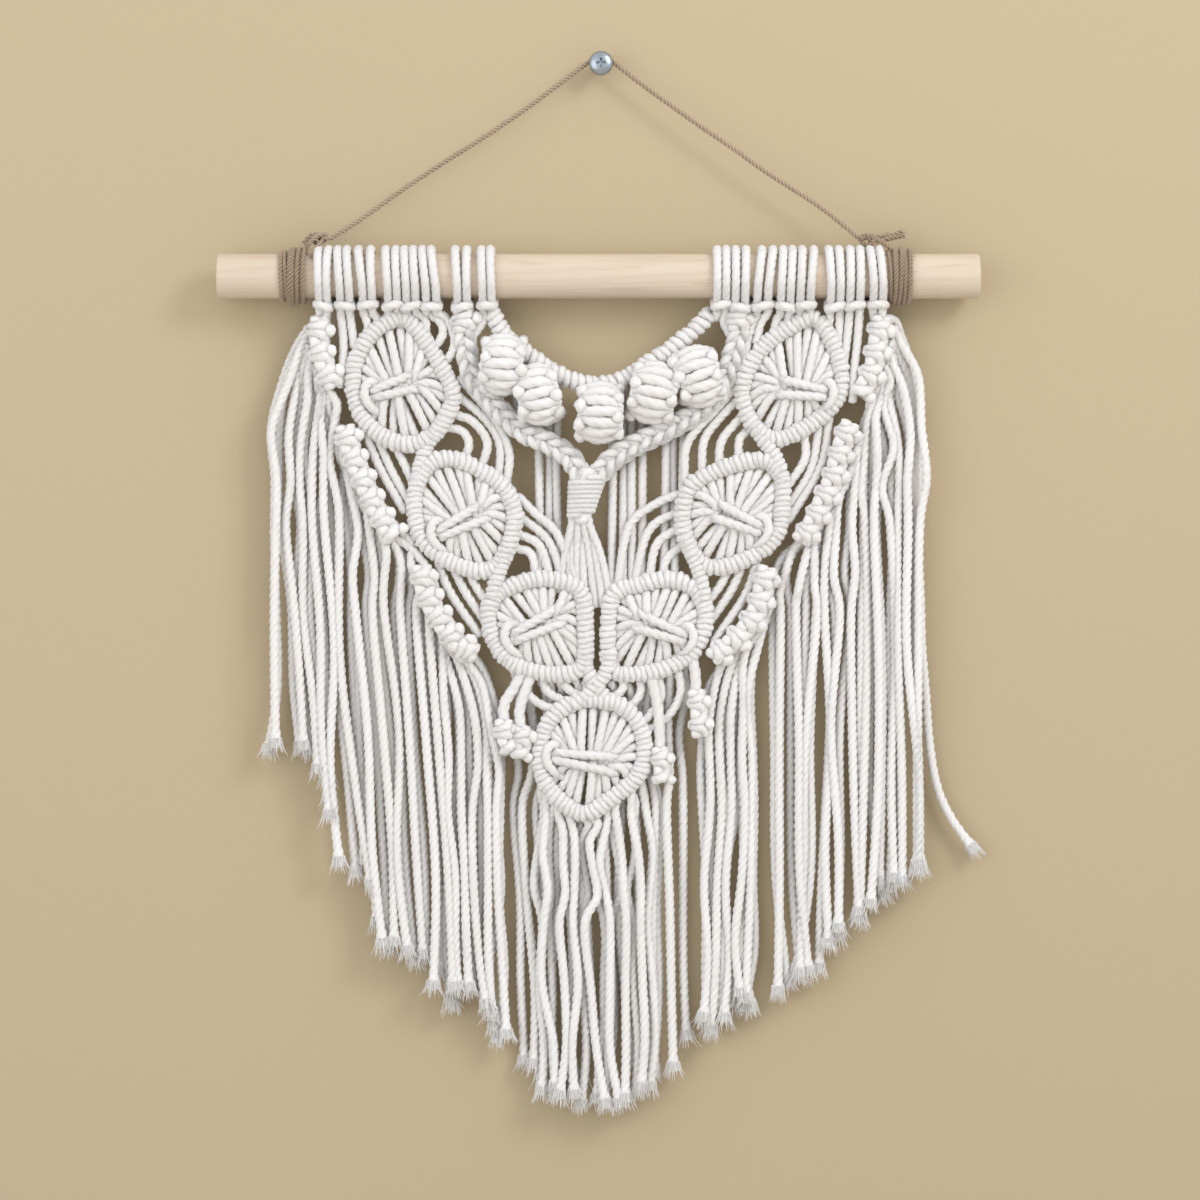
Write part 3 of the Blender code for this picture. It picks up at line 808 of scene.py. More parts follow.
# %% Dowel
DOWEL_LOW, DOWEL_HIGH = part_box("dowel")
DOWEL_LENGTH = DOWEL_HIGH.x - DOWEL_LOW.x
DOWEL_RADIUS = (DOWEL_HIGH.z - DOWEL_LOW.z) / 2
DOWEL_MIDDLE = (DOWEL_LOW + DOWEL_HIGH) / 2
EDGE = 0.9 * MM
# How far each inset of an end face goes in, and how deep: a rim first, then the saw's mark.
END_INSETS = ((2.4, -0.12), (2.6, 0.1))


def alone(piece):
    """Makes a piece the only selected object, in object mode."""
    if bpy.context.mode != "OBJECT":
        bpy.ops.object.mode_set(mode="OBJECT")
    bpy.ops.object.select_all(action="DESELECT")
    piece.select_set(True)
    bpy.context.view_layer.objects.active = piece


def only_selected(mesh_object, choose):
    """Enters edit mode with only the chosen faces selected."""
    alone(mesh_object)
    bpy.ops.object.mode_set(mode="EDIT")
    bpy.ops.mesh.select_mode(type="FACE")
    bpy.ops.mesh.select_all(action="DESELECT")
    bpy.ops.object.mode_set(mode="OBJECT")
    for face in mesh_object.data.polygons:
        face.select = choose(face)
    bpy.ops.object.mode_set(mode="EDIT")


def settled(piece, material, angle):
    """Applies the piece's place, shades it and hands it to the frame."""
    alone(piece)
    bpy.ops.object.transform_apply(location=True, rotation=True, scale=True)
    bpy.ops.object.shade_smooth_by_angle(angle=math.radians(angle))
    piece.data.materials.clear()
    piece.data.materials.append(material)
    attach(piece, "root")
    print(f"{piece.name}: {len(piece.data.polygons)} faces")


bpy.ops.object.select_all(action="DESELECT")
bpy.ops.mesh.primitive_cylinder_add(vertices=96, radius=DOWEL_RADIUS, depth=DOWEL_LENGTH,
                                    location=DOWEL_MIDDLE, rotation=(0, math.pi / 2, 0))
dowel = bpy.context.object
dowel.name = "turned_dowel"
only_selected(dowel, lambda face: abs(face.normal.z) > 0.9)
bpy.ops.mesh.bevel(offset=EDGE, segments=3, affect="EDGES")
only_selected(dowel, lambda face: abs(face.normal.z) > 0.99)
for inward, deep in END_INSETS:
    bpy.ops.mesh.inset(thickness=inward * MM, depth=deep * MM, use_individual=True)
settled(dowel, pine, 35)
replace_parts(dowel, "dowel")

# %% [markdown]
# ## The screw
# A pan-head wood screw holds the twine. Its head is a disc whose face is inset and drawn out in four rings
# for the dome; the shank is drawn out of the back. The cross recess is cut by a tapered cross, which is a
# cube with four of its sides extruded.

# %% Screw
SCREW_LOW, SCREW_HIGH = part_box("wall_screw")
HEAD_RADIUS = (SCREW_HIGH.z - SCREW_LOW.z) / 2
HEAD_FRONT = SCREW_LOW.y
SHANK_RADIUS = 2.4 * MM
HEAD_THICK = 1.5 * MM
HEAD_BEHIND = 2.4 * MM
# How far each ring of the dome lies inside the one before, and how far in front of it.
DOME = ((0.35, 0.55), (0.9, 0.65), (1.3, 0.32), (1.2, 0.1))
CROSS_WIDTH = 1.1 * MM
CROSS_ARM = 1.75 * MM
CROSS_DEPTH = 3.0
CROSS_TAPER = 0.55

bpy.ops.object.select_all(action="DESELECT")
bpy.ops.mesh.primitive_cylinder_add(vertices=64, radius=HEAD_RADIUS, depth=HEAD_THICK,
                                    location=(0, HEAD_FRONT + HEAD_BEHIND, 0), rotation=(math.pi / 2, 0, 0))
screw = bpy.context.object
screw.name = "domed_screw"
only_selected(screw, lambda face: face.normal.z > 0.9)
for inward, forward in DOME:
    bpy.ops.mesh.inset(thickness=inward * MM, depth=forward * MM)
only_selected(screw, lambda face: face.normal.z < -0.9)
bpy.ops.mesh.inset(thickness=HEAD_RADIUS - SHANK_RADIUS, depth=0)
SHANK_LENGTH = -(HEAD_FRONT + HEAD_BEHIND + HEAD_THICK / 2)
bpy.ops.mesh.extrude_region_move(TRANSFORM_OT_translate={"value": (0, SHANK_LENGTH, 0)})
bpy.ops.object.mode_set(mode="OBJECT")

bpy.ops.object.select_all(action="DESELECT")
bpy.ops.mesh.primitive_cube_add(size=CROSS_WIDTH, location=(0, HEAD_FRONT + 0.4 * MM, 0))
cross = bpy.context.object
cross.scale = (1, CROSS_DEPTH, 1)
bpy.ops.object.transform_apply(location=False, rotation=False, scale=True)
only_selected(cross, lambda face: abs(face.normal.y) < 0.5)
bpy.ops.mesh.extrude_faces_move(TRANSFORM_OT_shrink_fatten={"value": CROSS_ARM})
bpy.ops.object.mode_set(mode="OBJECT")
for corner in cross.data.vertices:
    if corner.co.y > 0:
        corner.co.x *= CROSS_TAPER
        corner.co.z *= CROSS_TAPER
cut = screw.modifiers.new("recess", "BOOLEAN")
cut.operation = "DIFFERENCE"
cut.solver = "EXACT"
cut.object = cross
alone(screw)
bpy.ops.object.modifier_apply(modifier="recess")
bpy.data.objects.remove(cross, do_unlink=True)
settled(screw, zinc, 40)
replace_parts(screw, "wall_screw")

# %% [markdown]
# ## Twine lashings and knots
# At each end the twine is wound six times round the dowel and tied off. A winding is a long helix that
# wanders a little, with a few turns that cross over the others, because nobody winds twine perfectly.

# %% Lashings
AXIS_Y = DOWEL_MIDDLE.y / MM
AXIS_Z = DOWEL_MIDDLE.z / MM
BARE_RADIUS = DOWEL_RADIUS / MM
INNER_LIFT = 0.8
OUTER_LIFT = 1.75
OUTER_SHARE = 0.62
LASHING_TURNS = 6.0
LASHING_D = TWINE_D * 0.95


def wound(x_from, x_to, turns, radius, chance, lean=0.5):
    """A helix round the dowel from x_from to x_to."""
    count = int(turns * 16)
    angle = np.linspace(0, turns * math.tau, count)
    marks = np.linspace(0, angle[-1], int(turns) + 2)
    drift = np.interp(angle, marks, chance.normal(0, lean, len(marks)))
    x = np.linspace(x_from, x_to, count) + drift
    return np.stack([x, AXIS_Y - radius * np.sin(angle), AXIS_Z + radius * np.cos(angle)], axis=1)


def lashing(name, x_from, x_to, seed):
    hank = Hank(name, seed=seed)
    chance = np.random.default_rng(seed + 5)
    inner = wound(x_from, x_to, LASHING_TURNS, BARE_RADIUS + INNER_LIFT, chance)
    over = wound(x_to - 1, x_from + 1, LASHING_TURNS * OUTER_SHARE, BARE_RADIUS + OUTER_LIFT, chance, 0.9)
    for line in (smooth_line(inner, 0.8), smooth_line(over, 0.8)):
        hank.lay(line, LASHING_D, crease=TWINE_CREASE)
        hairs(hank, line, 3, 2.1)
    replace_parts(hank.made(jute), name)


lashing("twine_lashing_left", -126.8, -118.4, seed=21)
lashing("twine_lashing_right", 115.4, 124.4, seed=23)

# %% [markdown]
# ## The knots that tie the twine off
# Each lashing ends in an overhand knot. Its loop is one route that passes itself, and its cut ends are short
# routes that leave it, all of them as hairy as the twine.

# %% Twine knots
LEFT_KNOT = (
    (-118.5, -14.0, -75.2), (-116.6, -16.0, -72.6), (-113.4, -15.8, -69.6), (-110.2, -13.8, -68.8),
    (-110.4, -11.2, -70.6), (-113.6, -10.4, -72.4), (-115.6, -12.2, -70.6), (-113.6, -14.4, -68.6),
    (-110.8, -13.6, -70.2), (-108.2, -12.8, -70.4),
)
LEFT_KNOT_ENDS = (
    ((-112.5, -12.0, -70.5), (-114.6, -14.6, -69.4), (-117.0, -15.4, -70.6), (-118.6, -15.6, -72.6)),
    ((-111.0, -12.6, -70.6), (-112.6, -15.8, -73.2), (-114.0, -17.8, -75.8), (-115.0, -19.4, -78.6)),
)
RIGHT_KNOT = (
    (116.5, -16.2, -75.4), (113.2, -15.4, -72.6), (109.0, -14.2, -70.2), (105.6, -12.2, -69.2),
    (104.0, -11.2, -71.0), (106.4, -12.8, -73.0), (109.4, -14.6, -71.8), (108.6, -12.6, -69.4),
    (105.4, -12.4, -70.4), (102.6, -12.6, -69.8),
)
RIGHT_KNOT_ENDS = (
    ((107.0, -13.2, -71.2), (111.6, -13.4, -71.4), (116.8, -13.0, -70.2), (121.4, -12.8, -69.3)),
    ((108.0, -12.0, -70.2), (112.8, -12.0, -69.6), (117.6, -12.4, -68.8), (120.4, -12.4, -67.6)),
)


def twine_knot(name, loop, ends, seed):
    hank = Hank(name, seed=seed)
    for route in (loop, *ends):
        line = smooth_line(route, 0.75)
        hank.lay(line, TWINE_D, crease=TWINE_CREASE)
        hairs(hank, line, 4, 2.0)
    for route in ends:
        fray(hank, smooth_line(route, 0.75), fibres=9, reach=3.2, spread=0.7, thick=0.22)
    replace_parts(hank.made(jute), name)


twine_knot("twine_knot_left", LEFT_KNOT, LEFT_KNOT_ENDS, seed=31)
twine_knot("twine_knot_right", RIGHT_KNOT, RIGHT_KNOT_ENDS, seed=33)

# %% [markdown]
# ## Loops over the dowel
# Every pair of cords is one cord folded in two and looped over the dowel with a lark's head: both legs come
# down the front, and the fold lies across them as a short bar under the dowel. Each row of the table gives
# where its two legs are at the top and at the foot, and where their tails go next.

# %% Lark's head table
Loop = namedtuple("Loop", "tops feet left_tail right_tail")
LOOPS = {
    "loops_left_outer": (
        Loop((-112.9, -109.0), (-112.4, -109.4), ((-113.2, -104.5),), ((-111.2, -104.5),)),
        Loop((-105.2, -101.6), (-104.0, -100.4),
             ((-103.0, -112), (-103.4, -122), (-104.6, -130)), ((-99.8, -106), (-98.6, -114))),
        Loop((-96.9, -92.0), (-94.9, -91.4),
             ((-93.8, -103), (-92.8, -108.5)), ((-89.8, -102), (-88.3, -106.5))),
        Loop((-86.0, -82.1), (-84.9, -81.4), ((-84.0, -105.0),), ((-80.6, -105.0),)),
        Loop((-78.6, -75.1), (-77.6, -74.0),
             ((-75.8, -103), (-74.8, -107.5)), ((-70.8, -102.2), (-69.9, -106.2), (-71.2, -109.8))),
        Loop((-71.5, -67.9), (-69.8, -65.8),
             ((-68.6, -100.6), (-63.8, -104.6), (-63.4, -109.4), (-66.2, -113.6)),
             ((-62.4, -102.0), (-59.0, -108.6), (-58.8, -114.4), (-61.6, -119.4))),
    ),
    "loops_left_inner": (
        Loop((-58.2, -53.6), (-57.2, -53.6), ((-57.4, -103.5),), ((-52.4, -103.5),)),
        Loop((-47.8, -44.2), (-47.2, -43.8),
             ((-46.6, -103.0), (-50.6, -108.8), (-54.2, -112.0)), ((-43.0, -103.0),)),
    ),
    "loops_right_inner": (
        Loop((46.4, 50.0), (46.4, 49.8),
             ((45.2, -103.0),), ((48.8, -103.5), (51.6, -109.0), (53.6, -114.0))),
        Loop((53.8, 57.9), (53.6, 57.4), ((53.2, -103.5),), ((57.4, -103.5),)),
        Loop((64.3, 68.7), (62.4, 66.6),
             ((60.0, -106.0), (58.0, -115.0), (57.6, -124.0)), ((64.0, -104.0), (62.0, -112.5))),
        Loop((72.8, 76.5), (71.8, 75.5),
             ((70.2, -103.0), (69.2, -109.0)), ((74.6, -103.0), (73.8, -106.5))),
        Loop((80.4, 85.0), (79.5, 83.5), ((78.6, -105.0),), ((83.0, -105.0),)),
    ),
    "loops_right_outer": (
        Loop((91.0, 95.0), (91.7, 95.4),
             ((91.4, -103.0), (90.8, -108.0)), ((95.4, -105.0), (94.4, -115.0))),
        Loop((99.5, 103.4), (99.3, 103.3),
             ((98.6, -109.0), (97.0, -121.0)), ((102.6, -112.0), (101.0, -126.0), (100.6, -136.0))),
        Loop((107.5, 111.2), (108.7, 112.3), ((110.0, -104.5),), ((112.6, -104.5),)),
    ),
}
print(sum(len(rows) for rows in LOOPS.values()), "lark's heads")

# %% [markdown]
# ## Tying the lark's heads
# A leg comes from behind the bar, climbs the front of the dowel, goes over it and down its back, and comes
# forward again under the dowel to become the bar. So one whole folded cord is one smooth route.

# %% Lark's heads
LEG_RADIUS = BARE_RADIUS + 1.75
BAR_Z = -97.9
BAR_OVERHANG = 0.9
BAR_END_Y = -18.6
BAR_MIDDLE_Y = -20.4
TAIL_Y = -14.0
# Round the dowel, 90 is the front and -90 the back.
LEG_DEGREES = (115, 90, 60, 30, 0, -35, -70, -105, -140)


def leg(x_top, x_foot, bar_end_x):
    """From behind the bar up the dowel's front, over it, down its back and forward to the bar's end."""
    points = [(x_foot, -15.2, BAR_Z - 2.6), (x_foot, -17.0, BAR_Z + 0.8)]
    for degrees in LEG_DEGREES:
        angle = math.radians(degrees)
        # the leg leans from its foot to its top as it climbs, and then, at the back, to the bar's end
        x = x_foot + (x_top - x_foot) * min(1.0, (118 - degrees) / 90)
        x = x if degrees > -60 else x + (bar_end_x - x_top) * (-60 - degrees) / 80
        points.append((x, AXIS_Y - LEG_RADIUS * math.sin(angle), AXIS_Z + LEG_RADIUS * math.cos(angle)))
    points.append((bar_end_x, -14.4, BAR_Z + 1.0))
    return points


def larks_head(row, chance):
    """The whole folded cord, from one tail over the dowel, across the bar, and back to the other tail."""
    tilt = chance.uniform(-1.0, 1.0)
    drop = BAR_Z + chance.uniform(-0.7, 0.5)
    left_end, right_end = row.feet[0] - BAR_OVERHANG, row.feet[1] + BAR_OVERHANG
    left = leg(row.tops[0], row.feet[0], left_end)
    right = leg(row.tops[1], row.feet[1], right_end)
    bar = [(left_end, BAR_END_Y, drop + tilt), ((left_end + right_end) / 2, BAR_MIDDLE_Y, drop),
           (right_end, BAR_END_Y, drop - tilt)]
    start = flat_route(row.left_tail[::-1], TAIL_Y)
    finish = flat_route(row.right_tail, TAIL_Y)
    return start + left + bar + right[::-1] + finish


# The short webs over the two upper leaves are these cords' own tails.
WEBS_OF_LOOPS = {"loops_left_outer": ["web_top_left"], "loops_right_outer": ["web_top_right"]}
for seed, (node, rows) in enumerate(LOOPS.items()):
    chance = np.random.default_rng(110 + seed)
    hank = Hank(node, seed=120 + seed)
    for row in rows:
        hank.lay(smooth_line(larks_head(row, chance), 1.2), CORD_D)
    piece = hank.made(cotton)
    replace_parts(piece, node, *WEBS_OF_LOOPS.get(node, []))

# %% [markdown]
# ## Hitches round a carrier cord
# A leaf's rim, and the neck band, are rows of double half hitches: cord after cord is wrapped tightly round
# one carrier cord, twice each. The wraps lie side by side like a spring, so they are one helix round the
# route, with a carrier inside, an uneven pitch, and a wider step wherever one cord's pair of wraps ends.

# %% Hitched lines
RIM_Y = -14.3
HITCH_CORD_D = 3.1
HITCH_REACH = 2.2
HITCH_PITCH = 2.3
PAIR_STEPS = [0.82, 1.18]
UNEVEN_PITCH = (0.86, 1.14)
UNEVEN_REACH = (0.84, 1.12)
FLATNESS = 0.92
CORE_SHARE = 0.98


def hitched(line, reach, pitch, chance, slant, closed):
    """A helix round a dense line. The wraps lie flat against the front, in pairs."""
    if closed:
        ahead = np.roll(line, -1, axis=0) - np.roll(line, 1, axis=0)
        ahead /= np.linalg.norm(ahead, axis=1)[:, None]
    else:
        ahead = directions(line)
    out = np.cross(ahead, (0.0, 1.0, 0.0))
    out /= np.linalg.norm(out, axis=1)[:, None]
    front = np.cross(ahead, out)
    front *= np.sign(-front[:, 1])[:, None]
    along = distances(line)
    turns = round(along[-1] / pitch)
    knots = np.cumsum(np.tile(PAIR_STEPS, turns)[:turns] * chance.uniform(*UNEVEN_PITCH, turns))
    knots = np.concatenate([[0], knots]) * along[-1] / knots[-1]
    angle = np.interp(along, knots, np.arange(turns + 1) * math.tau)
    size = np.interp(along, knots, chance.uniform(*UNEVEN_REACH, turns + 1)) * reach
    place = line + out * (size * np.cos(angle))[:, None]
    place = place + front * (size * FLATNESS * np.sin(angle))[:, None]
    return place + ahead * (slant * np.sin(angle))[:, None]


def lay_hitches(hank, points, reach=HITCH_REACH, thick=HITCH_CORD_D, pitch=HITCH_PITCH, slant=0.0,
                closed=False):
    """Lays the carrier and the wraps round it."""
    line = smooth_line(points, 0.32, closed)
    hank.lay(line[::4], 2 * reach * CORE_SHARE, sides=8, crease=1.0)
    wraps = hitched(line, reach, pitch, hank.chance, slant, closed)
    hank.lay(even_steps(wraps, 0.85), thick, crease=0.96)


print("a hitch is", HITCH_PITCH, "mm wide, and a rim", 2 * HITCH_REACH + HITCH_CORD_D, "mm")

# %% [markdown]
# ## Leaves
# Seven leaves make the hanging's wreath. Each rim closes round a heart: cords that cross the leaf, gathered
# at the middle by two cords wrapped across them, and a bight of cord at one end of the gather. The table
# gives each rim's route, the gather's two ends, the end with the bight and the slant of the rim's hitches.

# %% Leaf tables
Leaf = namedtuple("Leaf", "name route gather bight slant")
LEAVES = (
    Leaf("leaf_left_1", (
        (-81.0, -102.4), (-74.5, -106.0), (-67.5, -116.0), (-61.0, -127.5), (-59.0, -134.5), (-62.5, -143.0),
        (-68.0, -150.0), (-76.5, -153.0), (-87.0, -150.0), (-95.5, -142.0), (-99.0, -130.5), (-98.0, -119.0),
        (-91.5, -108.4)), ((-89.5, -132.5), (-72.0, -127.0)), 1, 0.5),
    Leaf("leaf_left_2", (
        (-67.5, -160.0), (-58.5, -158.8), (-48.0, -163.5), (-39.0, -170.0), (-34.5, -180.0), (-36.0, -191.0),
        (-41.5, -201.5), (-50.0, -203.5), (-62.0, -199.0), (-71.5, -191.0), (-74.5, -180.0), (-73.5, -168.5)),
        ((-63.0, -188.0), (-44.5, -178.5)), 1, 0.5),
    Leaf("leaf_left_3", (
        (-36.5, -210.0), (-26.0, -206.8), (-14.5, -208.0), (-7.6, -213.0), (-6.2, -228.0), (-7.0, -241.0),
        (-14.0, -244.8), (-26.0, -244.0), (-36.0, -240.0), (-43.0, -231.0), (-45.0, -221.0), (-42.5, -213.5)),
        ((-33.5, -229.5), (-14.5, -220.5)), 1, 0.5),
    Leaf("leaf_right_1", (
        (84.0, -102.4), (91.0, -109.0), (95.5, -121.0), (95.5, -132.0), (89.0, -141.0), (79.5, -147.5),
        (70.0, -151.0), (62.5, -147.0), (57.6, -139.0), (56.6, -129.0), (61.0, -119.0), (70.0, -109.6)),
        ((68.0, -129.5), (88.0, -132.5)), -1, -0.5),
    Leaf("leaf_right_2", (
        (66.0, -159.5), (72.0, -166.0), (72.5, -177.0), (70.5, -188.0), (62.5, -196.5), (51.0, -201.5),
        (41.5, -201.5), (35.0, -193.5), (32.5, -182.0), (35.4, -170.4), (44.0, -164.5), (55.5, -160.5)),
        ((43.0, -178.0), (62.0, -186.5)), -1, -0.5),
    Leaf("leaf_right_3", (
        (5.0, -213.5), (16.0, -209.0), (27.0, -206.9), (37.0, -210.4), (41.5, -218.5), (41.0, -227.0),
        (36.0, -236.5), (26.0, -242.5), (14.0, -244.8), (4.4, -243.0), (2.8, -230.0)),
        ((10.5, -222.0), (32.0, -230.0)), -1, -0.5),
    Leaf("leaf_bottom", (
        (-3.0, -255.0), (7.0, -257.0), (14.5, -263.5), (17.5, -274.0), (15.0, -285.0), (5.5, -293.5),
        (-6.0, -300.5), (-15.0, -296.5), (-22.5, -287.5), (-24.5, -276.0), (-21.0, -264.0), (-11.5, -256.2)),
        ((-17.0, -277.6), (9.0, -281.6)), 1, 0.2),
)
HEART_CORDS = 26
HEART_CORD_D = 3.4
RIM_INSIDE = 2.0
FOOT_Y = -11.6
LAYERS = (-14.0, -15.5)
UNDER_WRAPS_Y = -12.4
# How much of the gather's length the cords keep to: they crowd towards its middle.
CROWDING = 0.45
GATHER_SHARE = 0.74
WRAP_PAIR_D = 3.7
WRAP_SPAN = 0.8
# A wrap's points: share of the span, overshoot, distance from the gather's line and depth.
PAIR = ((0.0, -2.2, 1.5, -13.0), (0.0, 0.0, 1.5, -16.6), (0.5, 0.0, 2.25, -17.5),
        (1.0, 0.0, 3.0, -16.4), (1.0, 3.0, 3.6, -12.6))
# A bight's points beside the gather's end: across, up and depth.
BIGHT = ((2.5, -8.8, -13.0), (-2.4, -5.6, -16.4), (-5.0, -0.6, -17.2), (-3.2, 4.4, -16.6), (2.2, 4.2, -14.6))
print(len(LEAVES), "leaves")

# %% [markdown]
# ## The hearts
# A heart cord starts inside the rim's hitches, arches to its place along the gather and dives under the two
# wraps. The cords lie in two layers, and no two exactly alike: places and heights vary from cord to cord.

# %% Leaf hearts


def lay_heart(hank, row, rim):
    """The cords inside a leaf, their two wraps, and the bight at the gather's outer end."""
    left, right = (np.array((x, 0.0, z)) for x, z in row.gather)
    middle = rim.mean(axis=0) * (1, 0, 1)
    run = unit(right - left)
    rise = np.cross(run, (0.0, 1.0, 0.0))
    half = np.linalg.norm(right - left) / 2
    centre = (left + right) / 2
    steps = (np.arange(HEART_CORDS) + hank.chance.uniform(-0.15, 0.15, HEART_CORDS)) / HEART_CORDS
    for k, share in enumerate(steps):
        foot = rim[int(share * len(rim)) % len(rim)] * (1, 0, 1)
        inward = unit(middle - foot)
        foot = foot + inward * RIM_INSIDE
        place = float((foot - centre).dot(run))
        side = 1.0 if (foot - centre).dot(rise) > 0 else -1.0
        kept = half * GATHER_SHARE
        goal = centre + run * np.clip(place * CROWDING + hank.chance.normal(0, 0.9), -kept, kept)
        lift = LAYERS[k % 2] + hank.chance.uniform(-0.5, 0.5)
        arch = rise * abs(float(inward.dot(run))) * hank.chance.uniform(0.6, 2.4)
        points = [foot + (0, FOOT_Y, 0),
                  foot * 0.78 + goal * 0.22 + arch * 0.8 + (0, (lift + FOOT_Y) / 2 - 0.8, 0),
                  foot * 0.42 + goal * 0.58 + arch + (0, lift, 0),
                  goal + rise * side * 1.4 + (0, lift, 0),
                  goal - rise * side * 1.6 + (0, UNDER_WRAPS_Y, 0)]
        hank.lay(smooth_line(points, 1.1), HEART_CORD_D)
    outer, span = (left, right - left) if row.bight > 0 else (right, left - right)
    span = span * WRAP_SPAN
    for sign in (-1, 1):
        points = [outer + span * share + unit(span) * beyond + rise * sign * off + (0, depth, 0)
                  for share, beyond, off, depth in PAIR]
        hank.lay(smooth_line(points, 1.1), WRAP_PAIR_D, crease=0.86)
    points = [outer + (across * row.bight, depth, up) for across, up, depth in BIGHT]
    hank.lay(smooth_line(points, 1.0), CORD_D)


# %% [markdown]
# ## Putting a leaf together
# A leaf is its ring of hitches, closed on itself, and its heart, laid from that same ring.

# %% Leaves
for seed, row in enumerate(LEAVES):
    hank = Hank(row.name, seed=200 + seed)
    rim_points = flat_route(row.route, RIM_Y)
    lay_hitches(hank, rim_points, slant=row.slant, closed=True)
    lay_heart(hank, row, smooth_line(rim_points, 0.5, closed=True))
    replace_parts(hank.made(cotton), row.name)

# %% [markdown]
# ## Carriers between the leaves
# A leaf's carrier cords don't end at its rim: they run on into the next leaf, hitched all the way, and cross
# each other in the middle above the bottom leaf.

# %% Carriers between leaves
CARRIER_REACH = 1.75
CARRIER_LIFTS = (0.2, 0.9)
CARRIERS = (
    ("carrier_left_upper", "leaf_left_1",
     ((-61.5, -141.0), (-65.0, -146.5), (-69.6, -153.5), (-72.4, -161.5), (-73.6, -169.0))),
    ("carrier_left_lower", "leaf_left_2",
     ((-34.6, -184.0), (-36.4, -192.0), (-39.6, -200.5), (-42.2, -208.5), (-43.4, -215.0))),
    ("carrier_right_upper", "leaf_right_1",
     ((60.8, -145.0), (64.4, -150.5), (68.6, -156.0), (71.6, -163.0), (72.6, -170.0))),
    ("carrier_right_lower", "leaf_right_2",
     ((33.8, -190.0), (36.4, -197.0), (38.8, -203.0), (40.6, -210.0), (41.2, -216.5))),
    ("carrier_cross_left", "leaf_left_3",
     ((-6.6, -236.0), (-5.6, -243.0), (-2.4, -249.0), (1.6, -254.0), (6.0, -257.4))),
    ("carrier_cross_right", "leaf_right_3",
     ((3.6, -236.0), (2.4, -243.5), (-2.4, -250.0), (-7.0, -254.4), (-12.0, -257.6))),
)
for seed, (name, node, route) in enumerate(CARRIERS):
    hank = Hank(name, seed=230 + seed)
    lay_hitches(hank, flat_route(route, RIM_Y - CARRIER_LIFTS[seed % 2]), reach=CARRIER_REACH)
    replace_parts(hank.made(cotton), node)

# %% [markdown]
# ## Neck band
# The neckline is one curved row of hitches from the left loops to the right ones, a little thinner than a
# rim and more openly wound.

# %% Neck band
NECK_ROUTE = (
    (-43.5, -100.4), (-39.4, -108.2), (-34.0, -113.4), (-26.4, -119.0), (-19.6, -123.4), (-11.8, -127.4),
    (-3.0, -129.0), (5.0, -128.2), (11.0, -125.8), (19.5, -120.2), (26.0, -116.0), (32.5, -111.0),
    (38.0, -106.5), (43.6, -100.6),
)
neck = Hank("neck_hitches", seed=240)
lay_hitches(neck, flat_route(NECK_ROUTE, RIM_Y), reach=2.05, thick=3.4, pitch=3.1, slant=0.3)
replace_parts(neck.made(cotton), "neck_band")

# %% [markdown]
# ## Square knots
# A square knot ties two working cords round two resting ones: one working cord crosses the front from side
# to side, the other crosses the back and comes round each side over it. Each crossing is half a knot. Chains
# of them make the sinnets and the top knots. A berry is the same chain rolled up and pinned on itself.

# %% Square knot chains
CLUSTER = 0.22
# A knot is drawn together where one ends and widest in its middle.
WAIST, BELLY = 0.52, 0.58
UNEVEN_WIDTH = (0.88, 1.1)
HALF_POINTS = 18
RESTING_GAP = 0.9


def lay_square_knots(hank, line, halves, width, thick, resting=2, cluster=CLUSTER):
    """Square knots along a dense line. width is from the middle to a working cord at its widest."""
    ahead = directions(line)
    across = np.cross(ahead, (0.0, 1.0, 0.0))
    level = np.linalg.norm(across, axis=1)[:, None]
    across = np.where(level > 0.2, across / np.maximum(level, 1e-6), (1.0, 0.0, 0.0))
    across *= np.sign(across[:, :1] + 1e-9)
    front = np.cross(across, ahead)
    front *= np.sign(front.dot((0.0, -1.0, 0.0)).sum())
    t = np.linspace(0, halves, halves * HALF_POINTS + 1)
    share = (t + 0.1 * np.sin(math.tau * t) + cluster * np.sin(math.pi * t)) / halves * (len(line) - 1)

    def at(table):
        return np.stack([np.interp(share, np.arange(len(line)), table[:, k]) for k in range(3)], axis=1)

    base, sideways, forward = at(line), at(across), at(front)
    knob = WAIST + BELLY * np.sin(math.pi * t / 2) ** 2 if cluster else 1.0
    knob = knob * np.interp(t, np.arange(halves + 1), hank.chance.uniform(*UNEVEN_WIDTH, halves + 1))
    # one working cord stays in front of the middle, and the other dips behind it and comes round the sides
    crossing = np.cos(math.pi * t)
    over = (0.25 + 0.75 * (1 - crossing**2)) * thick * 0.92
    under = (0.75 * crossing**4 - 0.9 * (1 - crossing**2)) * thick
    working = ((width * knob * crossing, over), (-(width + 0.5) * knob * crossing, under))
    for reach, depth in working:
        place = base + sideways * reach[:, None] + forward * depth[:, None]
        hank.lay(even_steps(place, 0.9), thick * hank.chance.uniform(0.97, 1.05))
    for k in range(resting):
        off = (k - (resting - 1) / 2) * thick * RESTING_GAP
        hank.lay(even_steps(line + across * off, 1.2), thick, crease=0.9)


